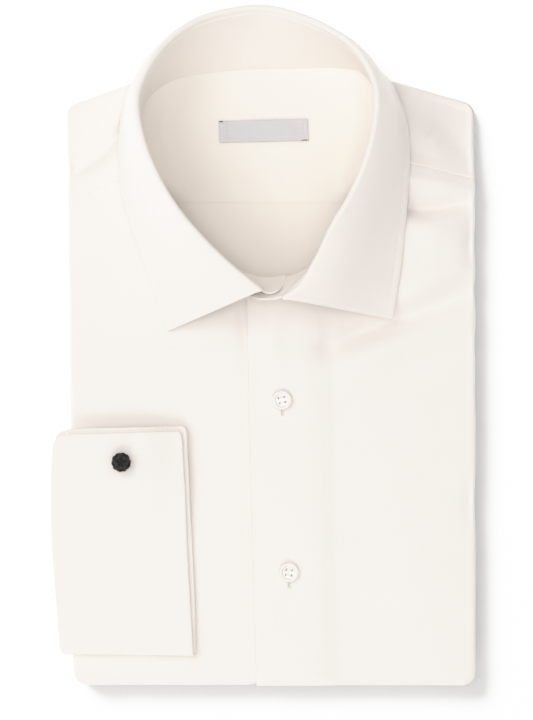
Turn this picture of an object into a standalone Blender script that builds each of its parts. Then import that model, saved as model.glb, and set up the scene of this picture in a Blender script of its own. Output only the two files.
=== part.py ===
"""Long sleeve dress shirt, buttoned and folded flat with its collar standing.

Lengths in the tables are millimetres; the shirt lies on Z = 0 with the collar toward +Y.
Left and right in the names are the wearer's, so the wearer's right is at -X.
"""

import math

import bmesh
import bpy
from mathutils import Vector

MM = 0.001

# Cloth and gaps
WALL = 1.0  # body cloth with its facings and seam allowances
COLLAR_T = 1.2  # fused collar
GAP = 0.3  # between neighbouring pieces
CORE_GAP = 1.0  # under a panel, before the hidden layers

# Folded body
PACK_H = 22.0
NECK_SWELL = 4.0  # how much the layers under the collar lift the front
NECK_OVAL = (-1.5, 95.0, 71.0, 69.0)  # centre x, y and half sizes of the neck opening
RIM_Z = 6.5  # where the fronts' folded edge ends and the lower layers show
CORNER_R = 8.0
SIDE_ROLL = 7.5
SHOULDER_ROLL = 11.0
SHOULDER_FALL = ((2, 9.0), (4, 3.0))  # side of the outline, how much the yoke falls toward it
FALL_REACH = 44.0
FLOOR_Z = 8.5  # inside back, top face
WELL_FLOOR = 6.8
WELL_OUT = 2.6  # well wall outside the neck seam

# Corner, x, y
OUTLINE = (
    ("hem right side", -109.7, -193.9),
    ("hem left side", 121.2, -193.9),
    ("shoulder left", 121.2, 141.0),
    ("neck left", 65.0, 156.2),
    ("neck right", -71.9, 153.3),
    ("shoulder right", -113.7, 138.5),
)

# Height, inset: the edges of the tail, back and folded side under the fronts
LOWER_EDGES = (
    (0.0, 3.2),
    (0.5, 1.6),
    (1.4, 1.0),
    (2.2, 1.6),
    (2.6, 3.4),
    (3.4, 1.5),
    (4.4, 1.0),
    (5.4, 1.6),
    (5.9, 3.4),
)
TUCK_EDGES = (4, 8)  # first and last of those edges that give way to the sleeve
TUCK_Y = (-180.0, -56.0)
TUCK_IN = 8.0
CORE_INSETS = (1.7, 2.0, 2.9, 4.4, 7.2)
CORE_SHARES = (0.05, 0.32, 0.62, 0.76, 0.88, 0.96, 1.0)

# Soft ridge, from x, y to x, y, half width, height
RIDGES = (
    ("under yoke, left", 80.0, 92.0, 121.0, 89.0, 13.0, 1.3),
    ("below it", 74.0, 62.0, 121.0, 68.0, 15.0, 1.1),
    ("long pull, left", 50.0, 17.0, 118.0, 46.0, 15.0, 1.4),
    ("beside the placket", 44.0, -6.0, 100.0, 6.0, 17.0, 0.8),
    ("under yoke, right", -110.0, 72.0, -84.0, 84.0, 13.0, 1.3),
    ("below it, right", -111.0, 42.0, -76.0, 60.0, 15.0, 0.9),
)

# Front panels: x, y on the neck or centre edge, y on the side fold
FACING_X = (31.2, 35.8)  # inner edge of the turned-in facing, top and hem
FACING_Y = (21.5, -193.9)
OVERLAP_LIFT = WALL + 0.6
HEM_SINK = 1.3  # of that, what the lower cloth takes at the hem fold
UNDER_EDGE_X = 29.5
BODY_ROWS = (-168.0, -144.0, -118.0, -92.0, -66.0, -42.0, -22.0, -6.0)
LEFT_NECK = (
    (-9.6, 10.0, 5.0),
    (-10.2, 22.6, 14.0),
    (-10.6, 36.4, 22.0),
    (12.6, 37.2, 29.0),
    (24.0, 41.2, 37.0),
    (35.2, 49.2, 48.0),
    (43.5, 64.9, 61.0),
    (54.1, 83.8, 75.0),
    (60.4, 98.0, 87.0),
    (63.7, 110.2, 97.0),
)
RIGHT_NECK = (
    (UNDER_EDGE_X, 5.0, 5.0),
    (UNDER_EDGE_X, 16.0, 13.0),
    (20.0, 35.2, 19.0),
    (-3.2, 37.8, 25.0),
    (-14.5, 41.2, 31.0),
    (-26.6, 45.6, 39.0),
    (-41.8, 58.7, 51.0),
    (-56.5, 78.0, 63.0),
    (-63.5, 91.0, 73.0),
    (-68.7, 102.4, 82.7),
)
# Shoulder yokes: x, y on the neck edge, slope of the row toward the side fold
LEFT_YOKE = (
    (63.8, 110.6, -0.230),
    (65.4, 116.5, -0.235),
    (67.0, 124.0, -0.240),
    (67.2, 132.0, -0.250),
    (66.8, 140.0, -0.260),
)
RIGHT_YOKE = (
    (-68.8, 102.8, 0.437),
    (-71.5, 110.0, 0.425),
    (-74.6, 119.0, 0.410),
    (-75.0, 127.0, 0.390),
    (-72.6, 135.0, 0.370),
)
YOKE_END_X = (66.4, -71.2)  # neck edge of each yoke at the shoulder fold
SHOULDER_SLOPE = (-0.2705, 0.3541)

# Collar section, neck seam x, y, z, fold line x, y, z, leaf edge x, y, z (0: on the cloth)
COLLAR = (
    ("left point", 12.6, 39.2, 26.8, 10.4, 27.8, 50.0, 73.0, 16.7, 0.0),
    ("left 1", 22.4, 43.6, 25.8, 17.2, 32.3, 51.0, 74.8, 27.5, 0.0),
    ("left 2", 33.0, 51.5, 25.5, 28.4, 49.0, 54.0, 77.3, 43.5, 0.0),
    ("left 3", 42.0, 66.0, 25.4, 37.8, 68.4, 57.0, 79.8, 65.5, 0.0),
    ("left 4", 52.5, 84.5, 25.2, 47.8, 85.1, 59.0, 81.7, 89.0, 0.0),
    ("left 5", 61.0, 105.5, 24.5, 56.2, 104.6, 60.0, 82.8, 108.0, 0.0),
    ("left 6", 65.5, 127.0, 22.0, 61.2, 124.2, 59.0, 82.3, 122.0, 0.0),
    ("left 7", 64.5, 147.0, 18.0, 62.5, 144.1, 56.0, 79.2, 136.5, 0.0),
    ("left 8", 56.2, 158.9, 13.5, 58.2, 157.5, 51.0, 73.6, 149.6, 22.0),
    ("left 9", 49.3, 161.2, 11.0, 49.4, 170.5, 46.0, 66.6, 158.6, 14.0),
    ("left 10", 37.8, 162.2, 9.5, 37.1, 180.0, 42.0, 54.0, 163.5, 6.5),
    ("left 11", 19.4, 162.0, 9.2, 19.0, 189.0, 38.0, 27.0, 163.5, 2.2),
    ("centre back", -1.4, 161.7, 9.2, -1.4, 193.9, 36.0, -1.4, 162.6, 1.3),
    ("right 11", -22.8, 160.5, 9.2, -22.4, 191.3, 37.5, -27.0, 162.9, 2.0),
    ("right 10", -35.5, 158.9, 9.5, -39.3, 185.2, 41.0, -52.0, 162.6, 5.0),
    ("right 9", -48.2, 156.5, 10.5, -53.3, 174.4, 46.0, -67.5, 159.3, 10.0),
    ("right 8", -57.4, 152.3, 12.0, -63.2, 161.5, 51.0, -75.8, 152.6, 18.5),
    ("right 7", -64.8, 146.9, 14.5, -69.7, 147.0, 55.5, -80.0, 142.5, 0.0),
    ("right 6", -69.2, 140.2, 17.5, -71.3, 135.5, 61.0, -82.4, 128.0, 0.0),
    ("right 5", -73.5, 124.0, 22.0, -68.4, 118.6, 63.0, -83.4, 106.5, 0.0),
    ("right 4", -66.5, 101.0, 24.5, -61.1, 99.0, 63.0, -80.6, 83.5, 0.0),
    ("right 3", -55.0, 79.0, 25.4, -50.0, 79.6, 61.0, -73.8, 62.0, 0.0),
    ("right 2", -40.5, 60.0, 25.5, -36.1, 62.9, 58.0, -67.4, 43.5, 0.0),
    ("right 1", -25.0, 47.6, 25.5, -22.1, 49.0, 55.0, -61.6, 26.5, 0.0),
    ("right point", -2.6, 39.8, 25.6, -1.9, 32.3, 52.0, -55.1, 9.8, 0.0),
)
# Stand ends past the points: seam x, y, z, top x, y, z
STAND_LEFT_END = (
    (-10.4, 38.2, 27.4, -10.2, 33.6, 34.5),
    (-9.2, 38.1, 27.2, -8.8, 30.4, 40.5),
    (-6.0, 38.1, 27.0, -5.6, 28.2, 44.6),
    (2.0, 38.3, 26.9, 2.2, 27.3, 46.4),
)
STAND_RIGHT_END = (
    (3.2, 39.7, 25.6, 3.4, 30.6, 46.6),
    (8.2, 40.3, 25.8, 8.0, 32.6, 44.2),
    (10.9, 40.8, 26.0, 10.6, 35.0, 38.0),
    (11.9, 41.0, 26.2, 11.7, 37.4, 32.0),
)
FOLD_R = 1.5
UNDER_FOLD = 2.6  # leaf below the fold before it meets the stand
LEAF_OPEN = 20.0  # degrees the leaf leaves the fold above its chord
LEAF_REST = -7.0

# Inside back: yoke seam and label
BACK_SEAM_Y = 83.8
LABEL = (-0.6, 125.3, 51.0, 12.0, 1.5)  # centre x, y, length, height, turn in degrees

# Folded double cuff: y of a station, left edge, right edge; upper then under half
CUFF_UPPER = (
    (-48.9, -113.5, -49.2),
    (-50.2, -117.6, -47.8),
    (-53.2, -119.6, -47.3),
    (-60.0, -120.4, -46.8),
    (-70.0, -121.1, -46.3),
    (-82.0, -121.4, -45.6),
    (-96.0, -121.4, -45.0),
    (-112.0, -121.1, -44.5),
    (-130.0, -120.0, -43.5),
    (-150.0, -118.3, -42.4),
    (-166.0, -117.0, -41.4),
    (-173.6, -116.0, -41.0),
)
CUFF_UNDER = (
    (-173.6, -112.0, -39.6),
    (-166.0, -111.8, -39.7),
    (-150.0, -111.8, -40.0),
    (-130.0, -111.8, -40.8),
    (-112.0, -111.8, -41.7),
    (-96.0, -111.8, -42.6),
    (-82.0, -111.8, -43.2),
    (-70.0, -111.8, -43.7),
    (-62.5, -112.4, -44.2),
    (-57.0, -119.0, -44.4),
    (-50.0, -118.6, -44.6),
    (-47.2, -116.2, -45.4),
    (-46.0, -112.5, -47.0),
)
CUFF_LAYER = 1.0
CUFF_HALF_GAP = 0.15
CUFF_OUT = 2 * CUFF_LAYER + GAP + CUFF_HALF_GAP
CUFF_INNER_LEFT = -112.6  # where the sleeve is joined
KNOT_LIFT = 6.0
LINK_X, LINK_Y = -81.3, -65.1
CORD_R, HOLE_R = 1.1, 1.5

# Sleeve, mid line across the side fold: x, z (0: at the cuff), from the cuff to the tuck
SLEEVE_LINE = (
    (-112.9, 0.0),
    (-114.6, 0.0),
    (-116.0, -0.9),
    (-116.7, -3.0),
    (-116.0, -10.0),
    (-114.6, -16.4),
    (-113.0, -19.4),
    (-110.2, -20.5),
    (-104.8, -20.7),
)
SLEEVE_Y = (-171.5, -150.0, -130.0, -112.0, -96.0, -82.0, -70.0)
SLEEVE_T = 2.1

# Buttons: radius, height; place x, y
BUTTON_R, BUTTON_H = 5.7, 2.2
FRONT_BUTTONS = (("button_upper", 10.0, -30.0), ("button_lower", 14.0, -128.6))
COLLAR_BUTTON = (5.4, 31.4, 36.2, 5.2)  # x, y, z of its back face, radius
HOLE_PITCH = 1.5
THREAD_HOLE_R = 0.75

COLOURS = {
    "poplin": (0.93, 0.90, 0.83),
    "lining": (0.90, 0.87, 0.79),
    "satin": (0.76, 0.74, 0.77),
    "silk": (0.02, 0.018, 0.02),
    "shell": (0.92, 0.89, 0.82),
}


def smooth(t):
    t = min(1.0, max(0.0, t))
    return t * t * (3.0 - 2.0 * t)


def sides():
    """Each side of the outline: a point on it, its length, direction and inward normal."""
    out = []
    for i, (_, x, y) in enumerate(OUTLINE):
        _, x2, y2 = OUTLINE[(i + 1) % len(OUTLINE)]
        run = math.hypot(x2 - x, y2 - y)
        dx, dy = (x2 - x) / run, (y2 - y) / run
        out.append((x, y, run, dx, dy, -dy, dx))
    return out


SIDES = sides()


def corner_centres():
    """The centre of each rounded corner."""
    out = []
    for i in range(len(SIDES)):
        x, y, _, _, _, ax, ay = SIDES[i - 1]
        _, _, _, _, _, bx, by = SIDES[i]
        cx, cy = OUTLINE[i][1], OUTLINE[i][2]
        det = ax * by - ay * bx
        p = ax * cx + ay * cy + CORNER_R
        q = bx * cx + by * cy + CORNER_R
        out.append(((p * by - q * ay) / det, (ax * q - bx * p) / det))
    return out


CENTRES = corner_centres()


def edge_distance(x, y):
    """How far a place is inside the folded body's rounded outline."""
    inner = min((x - px) * nx + (y - py) * ny for px, py, _, _, _, nx, ny in SIDES)
    if inner >= CORNER_R:
        return inner
    near = 1e9
    for i, (ax, ay) in enumerate(CENTRES):
        bx, by = CENTRES[(i + 1) % len(CENTRES)]
        ex, ey = bx - ax, by - ay
        t = ((x - ax) * ex + (y - ay) * ey) / (ex * ex + ey * ey)
        t = min(1.0, max(0.0, t))
        near = min(near, math.hypot(x - ax - t * ex, y - ay - t * ey))
    return CORNER_R - near


def edge_hit(x, y, dx, dy):
    """The outline point met from an inside place along a direction."""
    lo, hi = 0.0, 400.0
    for _ in range(50):
        mid = (lo + hi) / 2
        if edge_distance(x + dx * mid, y + dy * mid) > 0.0:
            lo = mid
        else:
            hi = mid
    return x + dx * lo, y + dy * lo


def ridges(x, y):
    rise = 0.0
    for _, ax, ay, bx, by, half, height in RIDGES:
        ex, ey = bx - ax, by - ay
        t = ((x - ax) * ex + (y - ay) * ey) / (ex * ex + ey * ey)
        t = min(1.0, max(0.0, t))
        off = math.hypot(x - ax - t * ex, y - ay - t * ey) / half
        if off < 1.0:
            rise = max(rise, height * (1.0 - off * off) ** 2)
    return rise


def neck_ratio(x, y):
    cx, cy, rx, ry = NECK_OVAL
    return math.hypot((x - cx) / rx, (y - cy) / ry)


def plateau(x, y):
    swell = NECK_SWELL * (1.0 - smooth((neck_ratio(x, y) - 1.0) / 0.9))
    k, fall = SHOULDER_FALL[0 if x > 0 else 1]
    px, py, _, _, _, nx, ny = SIDES[k]
    near = 1.0 - ((x - px) * nx + (y - py) * ny) / FALL_REACH
    return PACK_H + swell - fall * min(1.2, max(0.0, near)) ** 1.15


def roll(y):
    return SIDE_ROLL + (SHOULDER_ROLL - SIDE_ROLL) * smooth((y - 116.0) / 24.0)


def cloth_top(x, y):
    """Outer face of the front and yoke cloth."""
    d = edge_distance(x, y)
    if d <= 0.05:
        return RIM_Z
    share = min(1.0, d / roll(y))
    rise = math.sqrt(1.0 - (1.0 - share) ** 2)
    return RIM_Z + (plateau(x, y) - RIM_Z) * rise + ridges(x, y) * rise


def facing_x(y):
    t = (y - FACING_Y[0]) / (FACING_Y[1] - FACING_Y[0])
    return FACING_X[0] + (FACING_X[1] - FACING_X[0]) * t


def hem_sink(y):
    return HEM_SINK * smooth((OUTLINE[0][2] + SIDE_ROLL - y) / SIDE_ROLL)


def overlap_lift(x, y):
    """How much the left front is carried by the right front under it."""
    return (OVERLAP_LIFT - hem_sink(y)) * (1.0 - smooth((x - facing_x(y)) / 5.0))


def material(name, rgb, rough):
    mat = bpy.data.materials.new(name)
    mat.use_nodes = True
    bsdf = mat.node_tree.nodes["Principled BSDF"]
    bsdf.inputs["Base Color"].default_value = (*rgb, 1.0)
    bsdf.inputs["Roughness"].default_value = rough
    mat.diffuse_color = (*rgb, 1.0)
    return mat


def add(name, points, faces, colour, rough=0.8):
    """One closed body from points in millimetres."""
    mesh = bpy.data.meshes.new(name)
    mesh.from_pydata([tuple(c * MM for c in p) for p in points], [], faces)
    obj = bpy.data.objects.new(name, mesh)
    bpy.context.scene.collection.objects.link(obj)
    bm = bmesh.new()
    bm.from_mesh(mesh)
    bmesh.ops.recalc_face_normals(bm, faces=bm.faces)
    bm.to_mesh(mesh)
    bm.free()
    mesh.materials.append(material(name, COLOURS[colour], rough))
    return obj


def grid_normals(rows):
    n, m = len(rows), len(rows[0])
    normals = [[Vector((0, 0, 0)) for _ in range(m)] for _ in range(n)]
    for i in range(n - 1):
        for j in range(m - 1):
            a, b, c, d = rows[i][j], rows[i][j + 1], rows[i + 1][j + 1], rows[i + 1][j]
            turn = (c - a).cross(d - b)
            for p, q in ((i, j), (i, j + 1), (i + 1, j + 1), (i + 1, j)):
                normals[p][q] += turn
    return [[v.normalized() for v in row] for row in normals]


def shell(name, rows, out, back, colour):
    """A sheet of cloth on a grid of points, out and back being its two faces' offsets."""
    n, m = len(rows), len(rows[0])
    normals = grid_normals(rows)
    outer = [rows[i][j] + normals[i][j] * out for i in range(n) for j in range(m)]
    inner = [rows[i][j] - normals[i][j] * back for i in range(n) for j in range(m)]
    far = n * m
    faces = []
    for i in range(n - 1):
        for j in range(m - 1):
            quad = (i * m + j, i * m + j + 1, (i + 1) * m + j + 1, (i + 1) * m + j)
            faces.append(quad)
            faces.append(tuple(far + k for k in reversed(quad)))
    edge = [j for j in range(m)] + [i * m + m - 1 for i in range(1, n)]
    edge += [(n - 1) * m + j for j in range(m - 2, -1, -1)]
    edge += [i * m for i in range(n - 2, 0, -1)]
    for k, a in enumerate(edge):
        b = edge[(k + 1) % len(edge)]
        faces.append((a, far + a, far + b, b))
    return add(name, outer + inner, faces, colour)


def loft(name, loops, colour, rough=0.8):
    """A body through closed loops of points, capped at both ends."""
    m = len(loops[0])
    points = [p for loop in loops for p in loop]
    faces = [tuple(range(m)), tuple(range((len(loops) - 1) * m, len(loops) * m))]
    for i in range(len(loops) - 1):
        for j in range(m):
            k = (j + 1) % m
            faces.append((i * m + j, i * m + k, (i + 1) * m + k, (i + 1) * m + j))
    return add(name, points, faces, colour, rough)


def cut(obj, cutters):
    for cutter in cutters:
        cutter.display_type = "WIRE"
        cutter.hide_render = True
        mod = obj.modifiers.new("hole", "BOOLEAN")
        mod.operation, mod.solver, mod.object = "DIFFERENCE", "EXACT", cutter
    depsgraph = bpy.context.evaluated_depsgraph_get()
    mesh = bpy.data.meshes.new_from_object(obj.evaluated_get(depsgraph))
    obj.modifiers.clear()
    obj.data = mesh
    for cutter in cutters:
        bpy.data.objects.remove(cutter)


def cylinder(centre, axis, radius, half, count):
    """A plain cylinder used as a cutter."""
    turn = Vector((0, 0, 1)).rotation_difference(Vector(axis)).to_matrix()
    loops = []
    for z in (-half, half):
        ring = []
        for k in range(count):
            a = 2 * math.pi * k / count
            ring.append(
                Vector(centre) + turn @ Vector((radius * math.cos(a), radius * math.sin(a), z))
            )
        loops.append(ring)
    return loft("cutter", loops, "poplin")


def outline_stops():
    """Round the outline: centre of curvature and outward direction of each stop."""
    stops = []
    left_y = (118, 96, 74, 52, 30, 8, -14, -34, -48, -54)
    left_y += (-62, -80, -100, -120, -140, -158, -174, -183)
    for i, (x, y) in enumerate(CENTRES):
        before, after = SIDES[i - 1], SIDES[i]
        a0 = math.atan2(-before[6], -before[5])
        a1 = math.atan2(-after[6], -after[5])
        while a1 < a0:
            a1 += 2 * math.pi
        steps = max(1, round((a1 - a0) / math.radians(24)))
        for s in range(steps + 1):
            a = a0 + (a1 - a0) * s / steps
            stops.append((x, y, math.cos(a), math.sin(a)))
        nx, ny = -after[5], -after[6]
        x2, y2 = CENTRES[(i + 1) % len(CENTRES)]
        if i == len(CENTRES) - 1:
            shares = [(v - y) / (y2 - y) for v in left_y]
        else:
            count = max(2, round(math.hypot(x2 - x, y2 - y) / 28.0))
            shares = [s / count for s in range(1, count)]
        for t in shares:
            stops.append((x + (x2 - x) * t, y + (y2 - y) * t, nx, ny))
    return stops


def seam_loop():
    return [(row[1], row[2]) for row in COLLAR]


def ray_to_seam(x, y, dx, dy):
    """Distance from an inside place to the neck seam along a direction."""
    best = None
    loop = seam_loop()
    for k, (ax, ay) in enumerate(loop):
        bx, by = loop[(k + 1) % len(loop)]
        ex, ey = bx - ax, by - ay
        det = dx * -ey + ex * dy
        if abs(det) < 1e-9:
            continue
        t = ((ax - x) * -ey + ex * (ay - y)) / det
        s = (dx * (ay - y) - dy * (ax - x)) / det
        if t > 0 and -1e-6 <= s <= 1 + 1e-6:
            best = t if best is None else max(best, t)
    return best


def folded_layers():
    """The hidden back, side folds, tail and sleeves as one rounded block with a neck well."""
    stops = outline_stops()
    cx, cy = NECK_OVAL[0], NECK_OVAL[1]
    rings = []
    for k, (z, inset) in enumerate(LOWER_EDGES):
        ring = []
        for x, y, nx, ny in stops:
            deep = inset
            tucked = nx < -0.9 and TUCK_Y[0] < y < TUCK_Y[1]
            if tucked and TUCK_EDGES[0] <= k <= TUCK_EDGES[1]:
                deep = 3.4 + TUCK_IN
            ring.append(Vector((x + (CORNER_R - deep) * nx, y + (CORNER_R - deep) * ny, z)))
        rings.append(ring)
    well = []
    for x, y, nx, ny in stops:
        ox, oy = x + CORNER_R * nx, y + CORNER_R * ny
        run = math.hypot(ox - cx, oy - cy)
        dx, dy = (ox - cx) / run, (oy - cy) / run
        reach = ray_to_seam(cx, cy, dx, dy) + WELL_OUT
        low = dy > 0 and run - reach < 9.0
        well.append((dx, dy, run, min(reach, run - 7.6), low))

    def carried(x, y):
        """Full height under the panels, none under the back neck."""
        aside = smooth((abs(x - cx) - 67.0) / 12.0)
        return 1.0 - smooth((y - 126.0) / 14.0) * (1.0 - aside)

    def top_at(x, y, low):
        if low:
            return WELL_FLOOR
        spare = WALL + CORE_GAP + 1.2 * smooth((y - 110.0) / 20.0)
        high = cloth_top(x, y) - ridges(x, y) - spare
        return WELL_FLOOR + (high - WELL_FLOOR) * carried(x, y)

    for inset in CORE_INSETS:
        ring = []
        for (x, y, nx, ny), (_, _, _, _, low) in zip(stops, well):
            deep = inset + (HEM_SINK + 0.2 if ny < -0.9 and -45.0 < x < 70.0 else 0.0)
            px, py = x + (CORNER_R - deep) * nx, y + (CORNER_R - deep) * ny
            share = min(1.0, (inset - CORE_INSETS[0]) / (roll(py) - CORE_INSETS[0]))
            rise = math.sqrt(1.0 - (1.0 - share) ** 2)
            base = RIM_Z + 0.1
            high = WELL_FLOOR
            if not low:
                spare = WALL + CORE_GAP + 1.2 * smooth((py - 110.0) / 20.0)
                high += (plateau(px, py) - spare - high) * carried(px, py)
            ring.append(Vector((px, py, base + (high - base) * rise)))
        rings.append(ring)
    brow = rings[-1]
    for share in CORE_SHARES:
        ring = []
        for p, (dx, dy, _, reach, low) in zip(brow, well):
            px = p.x + (cx + dx * reach - p.x) * share
            py = p.y + (cy + dy * reach - p.y) * share
            ring.append(Vector((px, py, top_at(px, py, low))))
        rings.append(ring)
    for back, z in ((0.9, WELL_FLOOR), (26.0, WELL_FLOOR)):
        ring = []
        for dx, dy, run, reach, low in well:
            r = reach - back
            ring.append(Vector((cx + dx * r, cy + dy * r, z)))
        rings.append(ring)
    return loft("folded_layers", rings, "lining")


def hem_insets():
    return [0.02] + [SIDE_ROLL * (1 - math.cos(math.radians(a))) for a in (20, 38, 55, 72, 90)]


def roll_places(y):
    """Distances in from the side fold, from the flat of the panel to its edge."""
    return [roll(y) * (1 - math.cos(math.radians(a))) for a in (90, 72, 55, 38, 20, 0)]


def side_row(x, y, ox, oy, stations, side):
    """Grid row from a neck or centre place to the side fold; stations are shares of the flat."""
    run = math.hypot(ox - x, oy - y)
    dx, dy = (ox - x) / run, (oy - y) / run
    row = []
    flat = run - roll(oy)
    for t in stations(x, y, flat):
        row.append((x + dx * t, y + dy * t))
    for inset in roll_places(oy):
        row.append((ox - dx * inset, oy - dy * inset))
    return row if side > 0 else row[::-1]


def front_rows(neck, side, stations, centre):
    table = [(centre(y), y, y) for y in [OUTLINE[0][2] + d for d in hem_insets()]]
    table += [(centre(y), y, y) for y in BODY_ROWS]
    table += list(neck)
    rows = []
    for x, y, y_side in table:
        ox, oy = edge_hit(20.0 * side, y_side, side, 0.0)
        rows.append(side_row(x, y, ox, oy, stations, side))
    return rows


def front_left():
    """The upper front, buttonhole side, with its facing turned in."""

    def centre(y):
        return -4.3 - 5.7 * (y + 193.9) / 221.0

    def stations(x, y, flat):
        step = facing_x(y) - x
        if step > 4.0:
            near = [0.0, step * 0.5, step, step + 5.0]
            return near + [step + 5.0 + (flat - step - 5.0) * s / 6 for s in range(1, 6)]
        return [flat * s / 9 for s in range(9)]

    rows = []
    for row in front_rows(LEFT_NECK, 1, stations, centre):
        rows.append([Vector((x, y, cloth_top(x, y))) for x, y in row])
    normals = grid_normals(rows)
    for i, row in enumerate(rows):
        for j, p in enumerate(row):
            row[j] = p + normals[i][j] * overlap_lift(p.x, p.y)
    shell("front_left", rows, 0.0, WALL, "poplin")


def front_right():
    """The under front, button side, running on under the upper one."""

    def stations(x, y, flat):
        if x < UNDER_EDGE_X:
            return [flat * s / 9 for s in range(9)]
        near = [0.0, 17.0, 34.8, 38.8]
        return near + [38.8 + (flat - 38.8) * s / 6 for s in range(1, 6)]

    rows = []
    for row in front_rows(RIGHT_NECK, -1, stations, lambda y: UNDER_EDGE_X):
        rows.append([Vector((x, y, cloth_top(x, y))) for x, y in row])
    normals = grid_normals(rows)
    for i, row in enumerate(rows):
        for j, p in enumerate(row):
            row[j] = p - normals[i][j] * hem_sink(p.y) * smooth((p.x + 9.0) / 3.5)
    shell("front_right", rows, 0.0, WALL, "poplin")


def shoulder_yoke(name, table, side, end_x, slope):
    """The yoke from the front seam over the shoulder fold."""
    corner = OUTLINE[3] if side > 0 else OUTLINE[4]
    fold_y = corner[2] + (end_x - corner[1]) * slope
    rows = list(table)
    for a in (90, 72, 55, 38, 20, 0):
        inset = max(0.02, SHOULDER_ROLL * (1 - math.cos(math.radians(a))))
        if fold_y - inset * 1.04 > rows[-1][1] + 1.5 or a < 72:
            rows.append((end_x, fold_y - inset * 1.04, slope))
    grid = []
    for x, y, rise in rows:
        run = math.hypot(1.0, rise)
        ox, oy = edge_hit(x, y, side / run, rise * side / run)
        row = side_row(x, y, ox, oy, lambda a, b, flat: [flat * s / 4 for s in range(4)], side)
        grid.append([Vector((px, py, cloth_top(px, py))) for px, py in row])
    shell(name, grid, 0.0, WALL, "poplin")


def yoke_inner():
    """The yoke seen inside the neck, curving up to the neck seam at both sides."""
    cx, cy = -2.0, 118.0
    rim = []
    for k in range(36):
        a = 2 * math.pi * (k + 0.5) / 36
        dx, dy = math.cos(a), math.sin(a)
        reach = ray_to_seam(cx, cy, dx, dy) - 1.7
        if dy < 0:
            reach = min(reach, (BACK_SEAM_Y + GAP / 2 - cy) / dy)
        rim.append((dx, dy, reach))
    for k, (dx, dy, reach) in enumerate(rim):
        rim[k] = (dx, dy, reach, seam_height(cx + dx * reach, cy + dy * reach))
    shares = (0.30, 0.62, 0.76, 0.85, 0.93, 1.0)
    outer = []
    for share in shares:
        ring = []
        for dx, dy, reach, high in rim:
            px, py = cx + dx * reach * share, cy + dy * reach * share
            lift = (high - FLOOR_Z) * smooth((py - BACK_SEAM_Y) / 26.0)
            ring.append(Vector((px, py, FLOOR_Z + lift * smooth((share - 0.68) / 0.32))))
        outer.append(ring)
    under = []
    for i, ring in enumerate(outer):
        below, above = outer[max(0, i - 1)], outer[min(len(outer) - 1, i + 1)]
        row = []
        for p, a, b, (dx, dy, _, _) in zip(ring, below, above, rim):
            slope = (b.z - a.z) / max(0.1, math.hypot(b.x - a.x, b.y - a.y))
            normal = Vector((-slope * dx, -slope * dy, 1.0)).normalized()
            row.append(p - normal * WALL)
        under.append(row)
    loft("yoke_inner", under + outer[::-1], "lining")


def seam_height(x, y):
    """Height of the neck seam at its nearest place."""
    best = None
    for a, b in zip(COLLAR, COLLAR[1:]):
        ex, ey = b[1] - a[1], b[2] - a[2]
        t = ((x - a[1]) * ex + (y - a[2]) * ey) / (ex * ex + ey * ey)
        t = min(1.0, max(0.0, t))
        d = math.hypot(x - a[1] - t * ex, y - a[2] - t * ey)
        if best is None or d < best[0]:
            best = (d, a[3] + (b[3] - a[3]) * t)
    return best[1]


def back_panel():
    """The back below its yoke seam, running on under the fronts."""
    cx, cy = -1.5, 72.0
    loop = []
    for k in range(28):
        a = 2 * math.pi * k / 28
        dx, dy = math.cos(a), math.sin(a)
        reach = ray_to_seam(cx, cy, dx, dy) + 0.6
        if dy > 0:
            reach = min(reach, (BACK_SEAM_Y - GAP / 2 - cy) / dy)
        loop.append((cx + dx * reach, cy + dy * reach))
    levels = [[Vector((x, y, z)) for x, y in loop] for z in (FLOOR_Z - WALL, FLOOR_Z)]
    loft("back", levels, "lining")


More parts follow.
